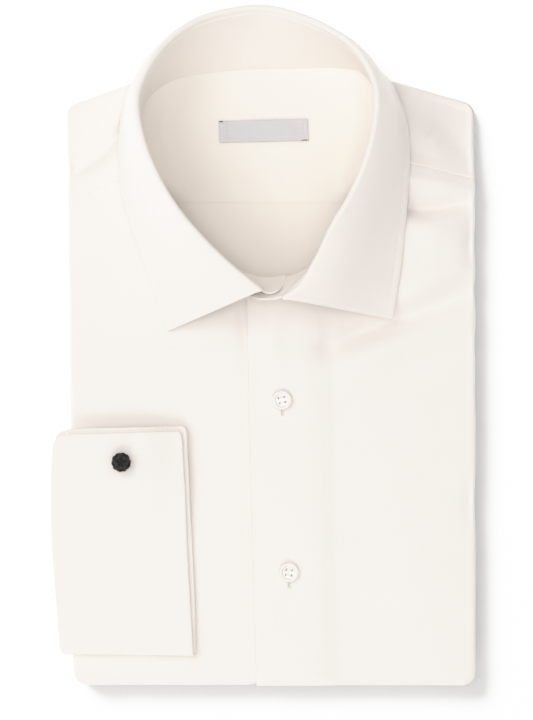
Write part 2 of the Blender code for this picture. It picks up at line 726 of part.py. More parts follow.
def leaf_sections():
    """Collar leaf from the stand over the fold to its edge, a list of points a section."""
    fold = [Vector(row[4:7]) for row in COLLAR]
    sections = []
    for i, row in enumerate(COLLAR):
        a, b = fold[max(0, i - 1)], fold[min(len(fold) - 1, i + 1)]
        along = Vector((b.x - a.x, b.y - a.y, 0)).normalized()
        outward = Vector((along.y, -along.x, 0))
        seam, top = Vector(row[1:4]), fold[i]
        ex, ey, ez = row[7:10]
        if ez == 0.0:
            ez = cloth_top(ex, ey) + overlap_lift(ex, ey) + COLLAR_T / 2 + 0.7
        edge = Vector((ex, ey, ez))
        rise = top - seam
        up = math.atan2(rise.z, rise.dot(outward))
        chord = math.atan2(edge.z - top.z, (edge - top).dot(outward))
        if chord > 0:
            chord -= 2 * math.pi
        away = chord + math.radians(LEAF_OPEN)
        away = min(away, up - math.radians(75))
        mid = (up + away) / 2 + math.pi / 2
        centre = (-FOLD_R * math.cos(mid), -FOLD_R * math.sin(mid))
        flat = [(centre[0] + FOLD_R * math.cos(h), centre[1] + FOLD_R * math.sin(h))
                for h in [up + math.pi / 2 + (away - up) * s / 3 for s in range(4)]]
        start = (flat[0][0] - UNDER_FOLD * math.cos(up), flat[0][1] - UNDER_FOLD * math.sin(up))
        end = ((edge - top).dot(outward), edge.z - top.z)
        p0 = flat[-1]
        reach = math.hypot(end[0] - p0[0], end[1] - p0[1])
        p1 = (p0[0] + 0.33 * reach * math.cos(away), p0[1] + 0.33 * reach * math.sin(away))
        back = chord + math.pi - math.radians(LEAF_REST)
        p2 = (end[0] + 0.33 * reach * math.cos(back), end[1] + 0.33 * reach * math.sin(back))
        curve = []
        for t in (0.18, 0.38, 0.6, 0.8, 1.0):
            s = 1 - t
            w = (s ** 3, 3 * s * s * t, 3 * s * t * t, t ** 3)
            curve.append(tuple(sum(c * p[q] for c, p in zip(w, (p0, p1, p2, end)))
                               for q in (0, 1)))
        aside = (edge - top).dot(along)
        points = []
        for k, (o, u) in enumerate([start] + flat + curve):
            share = 0.0 if k < 5 else (0.18, 0.38, 0.6, 0.8, 1.0)[k - 5]
            points.append(top + outward * o + along * (aside * share) + Vector((0, 0, u)))
        lean = seam - points[0]
        slip = lean.dot(along)
        points[0] += along * (slip * UNDER_FOLD / max(lean.length, 1.0))
        sections.append(points)
    return sections


def collar():
    sections = leaf_sections()
    shell("collar_leaf", sections, COLLAR_T / 2, COLLAR_T / 2, "poplin")
    rows = [(Vector(r[:3]), Vector(r[3:])) for r in STAND_LEFT_END]
    for row, points in zip(COLLAR, sections):
        seam = Vector(row[1:4])
        rise = points[0] - seam
        rows.append((seam, points[0] - rise.normalized() * (GAP + 0.1)))
    rows += [(Vector(r[:3]), Vector(r[3:])) for r in STAND_RIGHT_END]
    grid = [[seam.lerp(top, s / 3) for s in range(4)] for seam, top in rows]
    shell("collar_stand", grid, COLLAR_T / 2, COLLAR_T / 2, "poplin")


def cuff_mid(y):
    """Height between the cuff's halves, lifted by the knot under it."""
    lift = KNOT_LIFT * (1.0 - smooth((-y - 64.0) / 54.0))
    return PACK_H + 0.5 + CUFF_OUT + lift


def cuff_section(left, right):
    """Double cuff half: inner layer, fold and turned-back layer; x and distance out."""
    a, b = CUFF_HALF_GAP, CUFF_HALF_GAP + CUFF_LAYER
    c, d = b + GAP, CUFF_OUT
    m = (a + d) / 2
    return (
        (CUFF_INNER_LEFT, a),
        (right - 1.1, a),
        (right - 0.3, m - 0.68),
        (right, m),
        (right - 0.3, m + 0.68),
        (right - 1.1, d),
        (left, d),
        (left, c),
        (right - 1.6, c),
        (right - 1.3, m),
        (right - 1.6, b),
        (CUFF_INNER_LEFT, b),
    )


def french_cuff():
    """Both halves and the closed fold between them, pinned by the silk knot."""

    def place(x, y, r, turn):
        slope = 0.029 - 0.044 * (-y - 48.0) / 129.0
        z = cuff_mid(y) + r * math.cos(turn)
        return Vector((x, y + slope * (x + 80.0) - r * math.sin(turn), z))

    loops = []
    for y, left, right in CUFF_UPPER:
        loops.append([place(x, y, r, 0.0) for x, r in cuff_section(left, right)])
    y0, left0, right0 = CUFF_UPPER[-1]
    _, left1, right1 = CUFF_UNDER[0]
    for s in range(1, 6):
        t = s / 6
        section = cuff_section(left0 + (left1 - left0) * t, right0 + (right1 - right0) * t)
        loops.append([place(x, y0, r, math.pi * t) for x, r in section])
    for y, left, right in CUFF_UNDER:
        loops.append([place(x, y, r, math.pi) for x, r in cuff_section(left, right)])
    cuff = loft("french_cuff", loops, "poplin")
    cut(cuff, [cylinder((LINK_X, LINK_Y, cuff_mid(LINK_Y)), (0, 0, 1), HOLE_R, 6.0, 12)])


def cufflink():
    """Two silk knots on one cord through the cuff."""
    mid = cuff_mid(LINK_Y)
    top_c, top_r, top_h = mid + CUFF_OUT + 0.3 + 3.6, 5.5, 3.6
    low_top = mid - CUFF_OUT - 0.3
    low_h = (low_top - PACK_H - 0.4) / 2
    low_c, low_r = low_top - low_h, 4.7
    count = 18
    rows = []
    for a in (88, 66, 44, 22, 0, -22, -44, -64):
        c, s = math.cos(math.radians(a)), math.sin(math.radians(a))
        rows.append((top_r * c, top_c + top_h * s, 0.35 if abs(a) < 80 else 0.0))
    rows.append((CORD_R, top_c - top_h * 0.985, 0.0))
    rows.append((CORD_R, low_c + low_h * 0.985, 0.0))
    for a in (60, 36, 12, -12, -36, -60, -84):
        c, s = math.cos(math.radians(a)), math.sin(math.radians(a))
        rows.append((low_r * c, low_c + low_h * s, 0.25 if abs(a) < 80 else 0.0))
    loops = []
    for i, (r, z, bump) in enumerate(rows):
        ring = []
        for k in range(count):
            a = 2 * math.pi * k / count
            wave = bump * math.cos(6 * a + (math.pi if i % 2 else 0.0))
            ring.append(Vector((LINK_X + (r + wave) * math.cos(a),
                                LINK_Y + (r + wave) * math.sin(a), z)))
        loops.append(ring)
    loft("cufflink", loops, "silk", 0.7)


def sleeve():
    """The sleeve coming out from behind and round the side fold into the cuff."""
    rows = []
    for y in SLEEVE_Y:
        high = cuff_mid(y)
        row = []
        for k, (x, drop) in enumerate(SLEEVE_LINE):
            share = min(1.0, max(0.0, (k - 1) / 6))
            z = high + drop - (high - cuff_mid(-150.0)) * smooth(share)
            row.append(Vector((x, y, z)))
        rows.append(row)
    shell("sleeve_right", rows, SLEEVE_T / 2, SLEEVE_T / 2, "poplin")


def button(name, place, axis, radius, height):
    """Four-hole button with a raised rim, its back face on the place."""
    profile = (
        (0.80, 0.0),
        (0.97, 0.18),
        (1.0, 0.45),
        (0.96, 0.80),
        (0.86, 1.0),
        (0.76, 0.95),
        (0.66, 0.72),
        (0.0, 0.66),
    )
    turn = Vector((0, 0, 1)).rotation_difference(Vector(axis)).to_matrix()
    count = 20
    points = [Vector(place)]
    for r, z in profile[:-1]:
        for k in range(count):
            a = 2 * math.pi * k / count
            local = Vector((radius * r * math.cos(a), radius * r * math.sin(a), height * z))
            points.append(Vector(place) + turn @ local)
    points.append(Vector(place) + turn @ Vector((0, 0, height * profile[-1][1])))
    faces = []
    last = len(points) - 1
    for k in range(count):
        n = (k + 1) % count
        faces.append((0, 1 + n, 1 + k))
        for i in range(len(profile) - 2):
            a = 1 + i * count
            faces.append((a + k, a + n, a + count + n, a + count + k))
        a = 1 + (len(profile) - 2) * count
        faces.append((a + k, a + n, last))
    obj = add(name, points, faces, "shell", 0.35)
    holes = []
    for sx in (-1, 1):
        for sy in (-1, 1):
            off = turn @ Vector((sx * HOLE_PITCH, sy * HOLE_PITCH, height / 2))
            holes.append(cylinder(Vector(place) + off, axis, THREAD_HOLE_R, height, 8))
    cut(obj, holes)


def neck_label():
    """Plain woven label sewn to the inside yoke."""
    x, y, length, height, turn = LABEL
    c, s = math.cos(math.radians(turn)), math.sin(math.radians(turn))
    loops = []
    for z in (FLOOR_Z + GAP, FLOOR_Z + GAP + WALL):
        ring = []
        for u, v in ((-0.5, -0.5), (0.5, -0.5), (0.5, 0.5), (-0.5, 0.5)):
            a, b = u * length, v * height
            ring.append(Vector((x + a * c - b * s, y + a * s + b * c, z)))
        loops.append(ring)
    loft("neck_label", loops, "satin", 0.5)


def build():
    for obj in list(bpy.data.objects):
        bpy.data.objects.remove(obj)
    bpy.context.scene.unit_settings.system = "METRIC"
    folded_layers()
    front_right()
    front_left()
    shoulder_yoke("yoke_left", LEFT_YOKE, 1, YOKE_END_X[0], SHOULDER_SLOPE[0])
    shoulder_yoke("yoke_right", RIGHT_YOKE, -1, YOKE_END_X[1], SHOULDER_SLOPE[1])
    yoke_inner()
    back_panel()
    collar()
    sleeve()
    french_cuff()
    cufflink()
    neck_label()
    for name, x, y in FRONT_BUTTONS:
        z = cloth_top(x, y) + overlap_lift(x, y) + GAP + 0.3
        button(name, (x, y, z), (0, 0, 1), BUTTON_R, BUTTON_H)
    x, y, z, radius = COLLAR_BUTTON
    button("button_collar", (x, y, z), (0.05, -0.89, -0.45), radius, BUTTON_H)


build()
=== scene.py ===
"""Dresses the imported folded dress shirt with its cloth, sewing, buttons, knot and label.

Lengths in the tables are millimetres; the shirt lies on Z = 0 with the collar toward +Y.
Left and right in the names are the wearer's, so the wearer's right is at -X.
"""

import math

import bpy
import numpy as np
from mathutils import Matrix, Vector


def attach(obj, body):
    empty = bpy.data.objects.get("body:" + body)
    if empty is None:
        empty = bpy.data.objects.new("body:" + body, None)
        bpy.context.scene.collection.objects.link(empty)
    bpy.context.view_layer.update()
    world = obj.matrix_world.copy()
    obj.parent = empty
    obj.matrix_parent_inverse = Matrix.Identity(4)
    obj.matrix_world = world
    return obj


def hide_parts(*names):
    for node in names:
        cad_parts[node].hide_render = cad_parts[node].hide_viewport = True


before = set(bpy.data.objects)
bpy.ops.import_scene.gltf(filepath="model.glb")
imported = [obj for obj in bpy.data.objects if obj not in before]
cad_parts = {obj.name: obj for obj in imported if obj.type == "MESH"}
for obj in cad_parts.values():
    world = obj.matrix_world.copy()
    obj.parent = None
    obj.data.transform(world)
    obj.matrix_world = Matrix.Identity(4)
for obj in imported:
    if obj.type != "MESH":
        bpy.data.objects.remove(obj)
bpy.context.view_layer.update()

MM = 0.001
UV_MM = 0.01  # a millimetre of cloth in the weave's map

# Cloth and gaps
BODY_T = 0.5
COLLAR_T = 1.0
STAND_T = 1.3
CUFF_T = 1.0
FRONT_HALF = 0.22  # half the upper front's thickness
FOLD_R = 0.32  # the placket's folded edge
YOKE_HALF = 0.2
SEAM_FOLD_R = 0.26  # a yoke's turned seam edge
LEAF_CLEAR = 0.25  # under the leaf's edge
BACK_CLEAR = 5.5  # between the faces of the fronts and the back's cloth
BACK_RISE = 7.0  # of the back's cloth under the wearer's right front; twice that on the left
GRID = 1.45  # usual spacing of a cloth's points

# Folded body
PACK_H = 22.0
NECK_SWELL = 4.0
NECK_OVAL = (-1.5, 95.0, 71.0, 69.0)
SHOULDER_FALL = (9.0, 0.5)  # of the cloth from the yoke seam to the fold, wearer's left and right
FALL_REACH = 44.0
RIM_Z = 6.5
CORNER_R = 8.0
SIDE_ROLL = 6.0
SHOULDER_ROLL = 6.5
FULL = 7.0  # how full the rolled edge is, 2 being round
FLOOR_Z = 8.5
BACK_SEAM_Y = 83.8
OUTLINE = (
    (-109.7, -193.9),
    (121.2, -193.9),
    (121.2, 141.0),
    (65.0, 156.2),
    (-71.9, 153.3),
    (-113.7, 138.5),
)
FACING_X = (31.2, 35.8)
FACING_Y = (21.5, -193.9)
OVERLAP_LIFT = 1.6
HEM_SINK = 1.3
UNDER_EDGE_X = 29.5

# Inset and height of the cloth past its rim, where it turns under
UNDER_TURN = (
    (0.05, 6.15),
    (0.28, 5.86),
    (0.8, 5.70),
    (1.8, 5.66),
    (3.4, 5.66),
    (6.0, 5.66),
)

# Front panels: x, y on the neck edge, y on the side fold
LEFT_NECK = (
    (-9.6, 10.0, 5.0),
    (-10.2, 22.6, 14.0),
    (-10.6, 38.2, 22.0),
    (12.6, 38.8, 29.0),
    (23.0, 43.4, 37.0),
    (34.0, 50.5, 48.0),
    (43.5, 64.9, 61.0),
    (54.1, 83.8, 75.0),
    (60.4, 98.0, 87.0),
    (63.7, 110.2, 97.0),
)
RIGHT_NECK = (
    (UNDER_EDGE_X, 5.0, 5.0),
    (UNDER_EDGE_X, 16.0, 13.0),
    (20.0, 36.5, 19.0),
    (-3.2, 39.0, 25.0),
    (-14.5, 42.0, 31.0),
    (-26.1, 46.6, 39.0),
    (-41.8, 58.7, 51.0),
    (-56.5, 78.0, 63.0),
    (-63.5, 91.0, 73.0),
    (-68.7, 102.4, 82.7),
)
# Shoulder yokes: x, y on the neck edge, slope of the row toward the side fold
LEFT_YOKE = (
    (63.8, 110.6, -0.230),
    (65.4, 116.5, -0.235),
    (67.0, 124.0, -0.240),
    (67.2, 132.0, -0.250),
)
RIGHT_YOKE = (
    (-68.8, 102.8, 0.437),
    (-71.5, 110.0, 0.425),
    (-74.6, 119.0, 0.410),
    (-75.0, 127.0, 0.390),
)
YOKE_END_X = (66.4, -71.2)
SHOULDER_SLOPE = (-0.2705, 0.3541)

# Creases: widening of the left side, sharpness (2 is soft), then x, y, half width and height of places
CREASES = (
    ("shoulder valley", 1.7, 1.1, ((-119, 94, 4.5, -1.6), (-103, 104, 5, -5.2), (-94, 111, 5, -6.0),
                                   (-87, 118, 4.5, -5.2), (-82, 126, 4, -2.6), (-79, 140, 4, 0))),
    ("facet under it", 1.0, 2.0, ((-112, 90, 5, 0.2), (-98, 98, 6, 0.9), (-88, 106, 5, 0.7),
                                  (-84, 114, 5, 0))),
    ("pinch at the seam", 1.0, 1.4, ((-120, 86, 4, -1.2), (-108, 87, 4, -0.9), (-97, 90, 4, 0))),
    ("side swell", 1.0, 2.0, ((-112, 62, 14, 0.3), (-94, 66, 15, 1.0), (-80, 70, 12, 0.3))),
    ("drag from the seam", 0.8, 1.6, ((-119, 72, 5, -0.9), (-104, 75, 6, -0.8), (-90, 84, 5, -0.2))),
    ("pull at the side", 1.0, 1.8, ((-120, 30, 6, -0.8), (-104, 36, 8, -0.7), (-80, 48, 9, -0.3),
                                    (-66, 58, 7, 0))),
    ("strip under the seam", 1.0, 1.8, ((78, 97, 4, 1.0), (100, 94, 4.5, 2.3), (121, 90, 5, 0.5))),
    ("trough under the strip", 0.8, 1.4, ((76, 84, 4, -3.0), (84.5, 79.6, 4.8, -6.0), (95, 79, 5, -5.7),
                                          (107, 81.5, 5, -4.5), (122, 84, 5, -1.2))),
    ("swell under the trough", 1.0, 2.0, ((84, 60, 13, 0.8), (98, 66, 13, 2.3), (110, 64, 10, 1.4))),
    ("dent at the side fold", 1.0, 1.5, ((119, 76, 4, -0.8), (119, 66, 5.5, -3.0), (119, 54, 6, -2.7),
                                         (120, 44, 5, 0))),
    ("long pull", 1.2, 1.5, ((22, -6, 5, 0), (38, 0.4, 6, -3.0), (56, 7.8, 6, -5.6), (77, 15.6, 6.5, -4.8),
                             (100, 24.2, 7.5, -3.8), (122, 33.5, 8, -2.2))),
    ("brow over the pull", 1.0, 2.0, ((78, 28, 7, 0.7), (92, 35, 8, 2.0), (108, 43, 8, 1.6),
                                      (121, 50, 7, 0.4))),
    ("brow under the pull", 1.0, 2.0, ((36, -12, 7, 0.4), (62, -4, 8, 1.8), (92, 6, 8, 1.6),
                                       (120, 17, 8, 0.5))),
    ("second pull", 1.3, 1.7, ((58, -22, 7, 0), (80, -14, 8, -1.1), (102, -5, 8, -1.6), (121, 3, 8, -1.6))),
    ("third pull", 1.3, 2.0, ((84, -38, 8, 0), (104, -31, 9, -0.8), (121, -24, 9, -1.1))),
    ("dent low on the side", 1.0, 1.6, ((120, -72, 5, -0.4), (119, -86, 6, -2.2), (119, -98, 6, -1.4),
                                        (120, -108, 5, 0))),
    ("yoke hollow", 1.0, 2.0, ((84, 138, 8, -0.5), (97, 134, 9, -1.2), (108, 126, 8, -0.8),
                               (114, 116, 6, -1.0))),
    ("yoke swell", 1.0, 2.0, ((82, 124, 7, 0.5), (92, 122, 7, 1.4), (102, 112, 6, 0.5))),
    ("yoke pinch", 1.0, 1.5, ((78, 111, 4, -0.8), (90, 109, 4.5, -0.8), (100, 108, 4, 0))),
    ("slope of the left yoke", 1.0, 2.0, ((96, 150, 20, -1.0), (114, 136, 26, -3.6), (120, 112, 24, -3.6),
                                         (122, 92, 14, -1.0))),
    ("pucker at the placket", 0.8, 1.5, ((-12.5, 26, 4.5, -2.0), (-12, 14, 4.5, -2.2), (-10.8, -6, 3.5, -0.8),
                                         (-10.2, -26, 3, 0))),
    ("pull from the collar", 1.0, 2.0, ((6, 20, 4, 0), (5, 6, 5, 0.7), (8, -12, 5, 0.5), (9, -28, 4, 0))),
    ("beside the facing", 1.0, 1.7, ((34, 16, 4, -0.3), (35, 2, 4.5, -0.6), (36.5, -14, 4, 0))),
    ("low drag", 1.0, 2.0, ((46, -60, 16, 0), (72, -72, 18, 0.7), (104, -70, 14, 0))),
    ("lower drag", 1.0, 2.0, ((52, -128, 18, 0), (84, -134, 20, 0.6), (110, -150, 12, 0))),
    ("above the cuff", 1.0, 2.0, ((-108, -28, 12, 0), (-76, -20, 14, 0.7), (-40, -30, 12, 0))),
    ("under the point", 1.0, 2.0, ((-70, 10, 10, 0), (-46, -4, 12, -0.7), (-20, -4, 8, -0.2))),
)

# Collar section, neck seam x, y, z, fold line x, y, z, leaf edge x, y, z (0: on the cloth)
COLLAR = (
    (12.6, 39.2, 26.8, 10.4, 27.8, 50.0, 73.0, 16.7, 0.0),
    (22.4, 43.6, 25.8, 17.2, 32.3, 51.0, 74.8, 27.5, 0.0),
    (33.0, 51.5, 25.5, 28.4, 49.0, 54.0, 77.3, 43.5, 0.0),
    (42.0, 66.0, 25.4, 37.8, 68.4, 57.0, 79.8, 65.5, 0.0),
    (52.5, 84.5, 25.2, 47.8, 85.1, 59.0, 81.7, 89.0, 0.0),
    (61.0, 105.5, 24.5, 56.2, 104.6, 60.0, 82.8, 108.0, 0.0),
    (65.5, 127.0, 22.0, 61.2, 124.2, 59.0, 82.3, 122.0, 0.0),
    (64.5, 147.0, 18.0, 62.5, 144.1, 56.0, 79.2, 136.5, 0.0),
    (56.2, 158.9, 13.5, 58.2, 157.5, 51.0, 73.6, 149.6, 22.0),
    (49.3, 161.2, 11.0, 49.4, 170.5, 46.0, 66.6, 158.6, 14.0),
    (37.8, 162.2, 9.5, 37.1, 180.0, 42.0, 54.0, 163.5, 6.5),
    (19.4, 162.0, 9.2, 19.0, 189.0, 38.0, 27.0, 163.5, 2.2),
    (-1.4, 161.7, 9.2, -1.4, 193.9, 36.0, -1.4, 162.6, 1.3),
    (-22.8, 160.5, 9.2, -22.4, 191.3, 37.5, -27.0, 162.9, 2.0),
    (-35.5, 158.9, 9.5, -39.3, 185.2, 41.0, -52.0, 162.6, 5.0),
    (-48.2, 156.5, 10.5, -53.3, 174.4, 46.0, -67.5, 159.3, 10.0),
    (-57.4, 152.3, 12.0, -63.2, 161.5, 51.0, -75.8, 152.6, 18.5),
    (-64.8, 146.9, 14.5, -69.7, 147.0, 55.5, -80.0, 142.5, 0.0),
    (-69.2, 140.2, 17.5, -71.3, 135.5, 61.0, -82.4, 128.0, 0.0),
    (-73.5, 124.0, 22.0, -68.4, 118.6, 63.0, -83.4, 106.5, 0.0),
    (-66.5, 101.0, 24.5, -61.1, 99.0, 63.0, -80.6, 83.5, 0.0),
    (-55.0, 79.0, 25.4, -50.0, 79.6, 61.0, -73.8, 62.0, 0.0),
    (-40.5, 60.0, 25.5, -36.1, 62.9, 58.0, -67.4, 43.5, 0.0),
    (-25.0, 47.6, 25.5, -22.1, 49.0, 55.0, -61.6, 26.5, 0.0),
    (-2.6, 39.8, 25.6, -1.9, 32.3, 52.0, -55.1, 9.8, 0.0),
)
# Stand ends past the points: seam x, y, z, top x, y, z
STAND_LEFT_END = (
    (-10.4, 38.2, 27.4, -10.2, 33.6, 34.5),
    (-9.2, 38.1, 27.2, -8.8, 30.4, 40.5),
    (-6.0, 38.1, 27.0, -5.6, 28.2, 44.6),
    (2.0, 38.3, 26.9, 2.2, 27.3, 46.4),
)
STAND_RIGHT_END = (
    (3.2, 39.7, 25.6, 3.4, 30.6, 46.6),
    (8.2, 40.3, 25.8, 8.0, 32.6, 44.2),
    (10.9, 40.8, 26.0, 10.6, 35.0, 38.0),
    (11.9, 41.0, 26.2, 11.7, 37.4, 32.0),
)
CREST_R = 1.5
UNDER_FOLD = 2.6
LEAF_OPEN = 20.0
LEAF_REST = -7.0
STITCH_IN = 3.6  # collar edge stitching

LABEL = (-0.6, 125.3, 51.0, 12.0, 1.5)

# Folded double cuff: y of a station, left edge, right edge; upper then under half
CUFF_UPPER = (
    (-48.9, -113.5, -49.2),
    (-50.2, -117.6, -47.8),
    (-53.2, -119.6, -47.3),
    (-60.0, -120.4, -46.8),
    (-70.0, -121.1, -46.3),
    (-82.0, -121.4, -45.6),
    (-96.0, -121.4, -45.0),
    (-112.0, -121.1, -44.5),
    (-130.0, -120.0, -43.5),
    (-150.0, -118.3, -42.4),
    (-166.0, -117.0, -41.4),
    (-173.6, -116.0, -41.0),
)
CUFF_UNDER = (
    (-173.6, -112.0, -39.6),
    (-166.0, -111.8, -39.7),
    (-150.0, -111.8, -40.0),
    (-130.0, -111.8, -40.8),
    (-112.0, -111.8, -41.7),
    (-96.0, -111.8, -42.6),
    (-82.0, -111.8, -43.2),
    (-70.0, -111.8, -43.7),
    (-62.5, -112.4, -44.2),
    (-57.0, -119.0, -44.4),
    (-50.0, -118.6, -44.6),
    (-47.2, -116.2, -45.4),
    (-46.0, -112.5, -47.0),
)
CUFF_MID_IN, CUFF_MID_OUT = 0.65, 1.95  # layers' middles from the middle of the cuff
CUFF_OUT = 2.45
CUFF_INNER_LEFT = -112.6
KNOT_LIFT = 6.0
LINK_X, LINK_Y = -81.3, -65.1

SLEEVE_LINE = (
    (-112.9, 0.0),
    (-114.6, 0.0),
    (-116.0, -0.9),
    (-116.7, -3.0),
    (-116.0, -10.0),
    (-114.6, -16.4),
    (-113.0, -19.4),
    (-110.2, -20.5),
    (-104.8, -20.7),
)

BUTTON_R, BUTTON_H = 5.7, 2.2
FRONT_BUTTONS = (("button_upper", 10.0, -30.0, 14.0), ("button_lower", 14.0, -128.6, -6.0))
BUTTON_PROFILE = (  # radius and height from the middle of the foot, as shares
    (0.55, 0.0), (0.80, 0.0), (0.92, 0.08), (0.985, 0.24), (1.0, 0.45), (0.985, 0.68), (0.94, 0.88),
    (0.88, 0.98), (0.82, 1.0), (0.76, 0.97), (0.71, 0.88), (0.67, 0.78), (0.62, 0.71), (0.55, 0.68),
    (0.30, 0.66),
)
COLLAR_BUTTON = (5.4, 31.5, 36.2, 5.2)
HOLE_PITCH = 1.5  # of a button's holes from its middle, along X and Y
HOLES = [(x, y) for x in (-HOLE_PITCH, HOLE_PITCH) for y in (-HOLE_PITCH, HOLE_PITCH)]
THREAD_HOLE_R = 0.72
HOLE_LENGTH = 12.4

# Studio: strength of the surrounding light; azimuth, elevation, distance, size, power of lamps
WORLD = 0.48
LIGHTS = (
    ("key", 138, 50, 1.9, 0.8, 6.0),
    ("left", 188, 46, 1.5, 0.8, 3.0),
    ("top", 90, 88, 1.9, 0.9, 8.2),
    ("front", 264, 45, 1.9, 0.9, 6.6),
    ("front_right", 305, 40, 1.9, 0.9, 1.2),
    ("floor", 132, 51, 1.9, 1.0, 58.0),
)
FLOOR_GLOW = 0.05
SHOULDER = 0.82  # brightness above which the film's response bends over toward white
FILM_WHITE = 2.5

PHOTO_CENTRE = (1.15, -7.1)
CAMERA_Z = 1522.0
SENSOR = 24.0
SEEN_HEIGHT = 412.6  # of the cloth's level, by the camera
SEEN_LEVEL = 22.0
FLOOR_REACH = 6.0


# Shape of the folded body

def smooth(t):
    t = np.clip(t, 0.0, 1.0)
    return t * t * (3.0 - 2.0 * t)


def unit(v):
    return v / np.maximum(np.linalg.norm(v, axis=-1, keepdims=True), 1e-9)


def lengths(points, axis=0):
    """Length along rows or columns of points, from their first."""
    steps = np.linalg.norm(np.diff(points, axis=axis), axis=-1)
    return np.insert(np.cumsum(steps, axis=axis), 0, 0.0, axis=axis)


# Each side of the outline: its start and inward normal, and the centre of the rounded corner there
SIDE_P = np.array(OUTLINE)
SIDE_N = unit(np.roll(SIDE_P, -1, axis=0) - SIDE_P)[:, ::-1] * (-1.0, 1.0)
PAIRS = [np.array([SIDE_N[i - 1], SIDE_N[i]]) for i in range(len(SIDE_P))]
CENTRES = np.array([np.linalg.solve(m, m @ p + CORNER_R) for m, p in zip(PAIRS, SIDE_P)])


def edge_distance(x, y):
    """How far places are inside the folded body's rounded outline."""
    p = np.stack([x, y], axis=-1)
    inner = np.full(np.shape(x), 1e9)
    near = np.full(np.shape(x), 1e9)
    for i in range(len(SIDE_P)):
        inner = np.minimum(inner, (p - SIDE_P[i]) @ SIDE_N[i])
        a, b = CENTRES[i], CENTRES[(i + 1) % len(CENTRES)]
        e = b - a
        t = np.clip(((p - a) @ e) / (e @ e), 0.0, 1.0)
        near = np.minimum(near, np.linalg.norm(p - a - t[..., None] * e, axis=-1))
    return np.where(inner >= CORNER_R, inner, CORNER_R - near)


def edge_run(x, y, dx, dy):
    """Distance to the outline from inside places along directions."""
    lo, hi = np.zeros(np.shape(x)), np.full(np.shape(x), 300.0)
    for _ in range(34):
        mid = (lo + hi) / 2
        inside = edge_distance(x + dx * mid, y + dy * mid) > 0.0
        lo, hi = np.where(inside, mid, lo), np.where(inside, hi, mid)
    return lo


def side_x(y, side):
    """X of the sharp-cornered side fold."""
    a, b = (1, 2) if side > 0 else (5, 0)
    (x0, y0), (x1, y1) = OUTLINE[a], OUTLINE[b]
    return x0 + (x1 - x0) * (y - y0) / (y1 - y0)


def plateau(x, y):
    cx, cy, rx, ry = NECK_OVAL
    ratio = np.hypot((x - cx) / rx, (y - cy) / ry)
    swell = NECK_SWELL * (1.0 - smooth((ratio - 1.0) / 0.9))
    place = np.stack([x, y], axis=-1)
    drop = [fall * np.clip(1.0 - ((place - SIDE_P[k]) @ SIDE_N[k]) / FALL_REACH, 0.0, 1.2) ** 1.15
            for k, fall in zip((2, 4), SHOULDER_FALL)]
    return PACK_H + swell - np.where(np.asarray(x) > 0, *drop)


def roll(y):
    return SIDE_ROLL + (SHOULDER_ROLL - SIDE_ROLL) * smooth((y - 116.0) / 24.0)


def cloth_top(x, y):
    """Outer face of the front and yoke cloth without creases."""
    share = np.clip(edge_distance(x, y) / roll(y), 0.0, 1.0)
    rise = (1.0 - (1.0 - share) ** FULL) ** (1.0 / FULL)
    return RIM_Z + (plateau(x, y) - RIM_Z) * rise


def facing_x(y):
    t = (y - FACING_Y[0]) / (FACING_Y[1] - FACING_Y[0])
    return FACING_X[0] + (FACING_X[1] - FACING_X[0]) * t


def hem_sink(y):
    return HEM_SINK * smooth((OUTLINE[0][1] + SIDE_ROLL - y) / SIDE_ROLL)


def overlap_lift(x, y):
    """How much the left front is carried: a small step at the facing, then the right front."""
    past = x - facing_x(y)
    step = 0.15 * (1.0 - smooth((past + 0.8) / 2.0))
    slope = 0.85 * (1.0 - smooth(past / 8.0))
    under = (OVERLAP_LIFT - 1.0) * (1.0 - smooth((past + 8.0) / 10.0))
    return (step + slope + under) * (1.0 - hem_sink(y) / OVERLAP_LIFT)


def spline(nodes, count=None, at=None):
    """Smooth curve through rows of numbers, evenly spaced by its first columns' length."""
    p = np.asarray(nodes, float)
    s = lengths(p[:, :3])
    slope = np.gradient(p, s, axis=0)
    at = np.linspace(0.0, s[-1], count) if at is None else np.asarray(at) * s[-1]
    k = np.clip(np.searchsorted(s, at, side="right") - 1, 0, len(p) - 2)
    h = (s[k + 1] - s[k])[:, None]
    t = (at - s[k])[:, None] / h
    a, b = p[k], p[k + 1]
    return (
        a * (1 + 2 * t) * (1 - t) ** 2
        + slope[k] * h * t * (1 - t) ** 2
        + b * t * t * (3 - 2 * t)
        + slope[k + 1] * h * t * t * (t - 1)
    )


def nearest(x, y, line):
    """Signed distance from a polyline, left of it positive, and place along it in rows."""
    best = np.full(np.shape(x), 1e9)
    across, place = np.zeros(np.shape(x)), np.zeros(np.shape(x))
    for k in range(len(line) - 1):
        ax, ay = line[k][0], line[k][1]
        ex, ey = line[k + 1][0] - ax, line[k + 1][1] - ay
        run = ex * ex + ey * ey
        t = np.clip(((x - ax) * ex + (y - ay) * ey) / run, 0.0, 1.0)
        ox, oy = x - ax - t * ex, y - ay - t * ey
        d = np.hypot(ox, oy)
        closer = d < best
        best = np.where(closer, d, best)
        across = np.where(closer, np.where(ex * oy - ey * ox >= 0, d, -d), across)
        place = np.where(closer, k + t, place)
    return across, place


CREASE_LINES = [(widen, power, spline(nodes, 26)) for _, widen, power, nodes in CREASES]


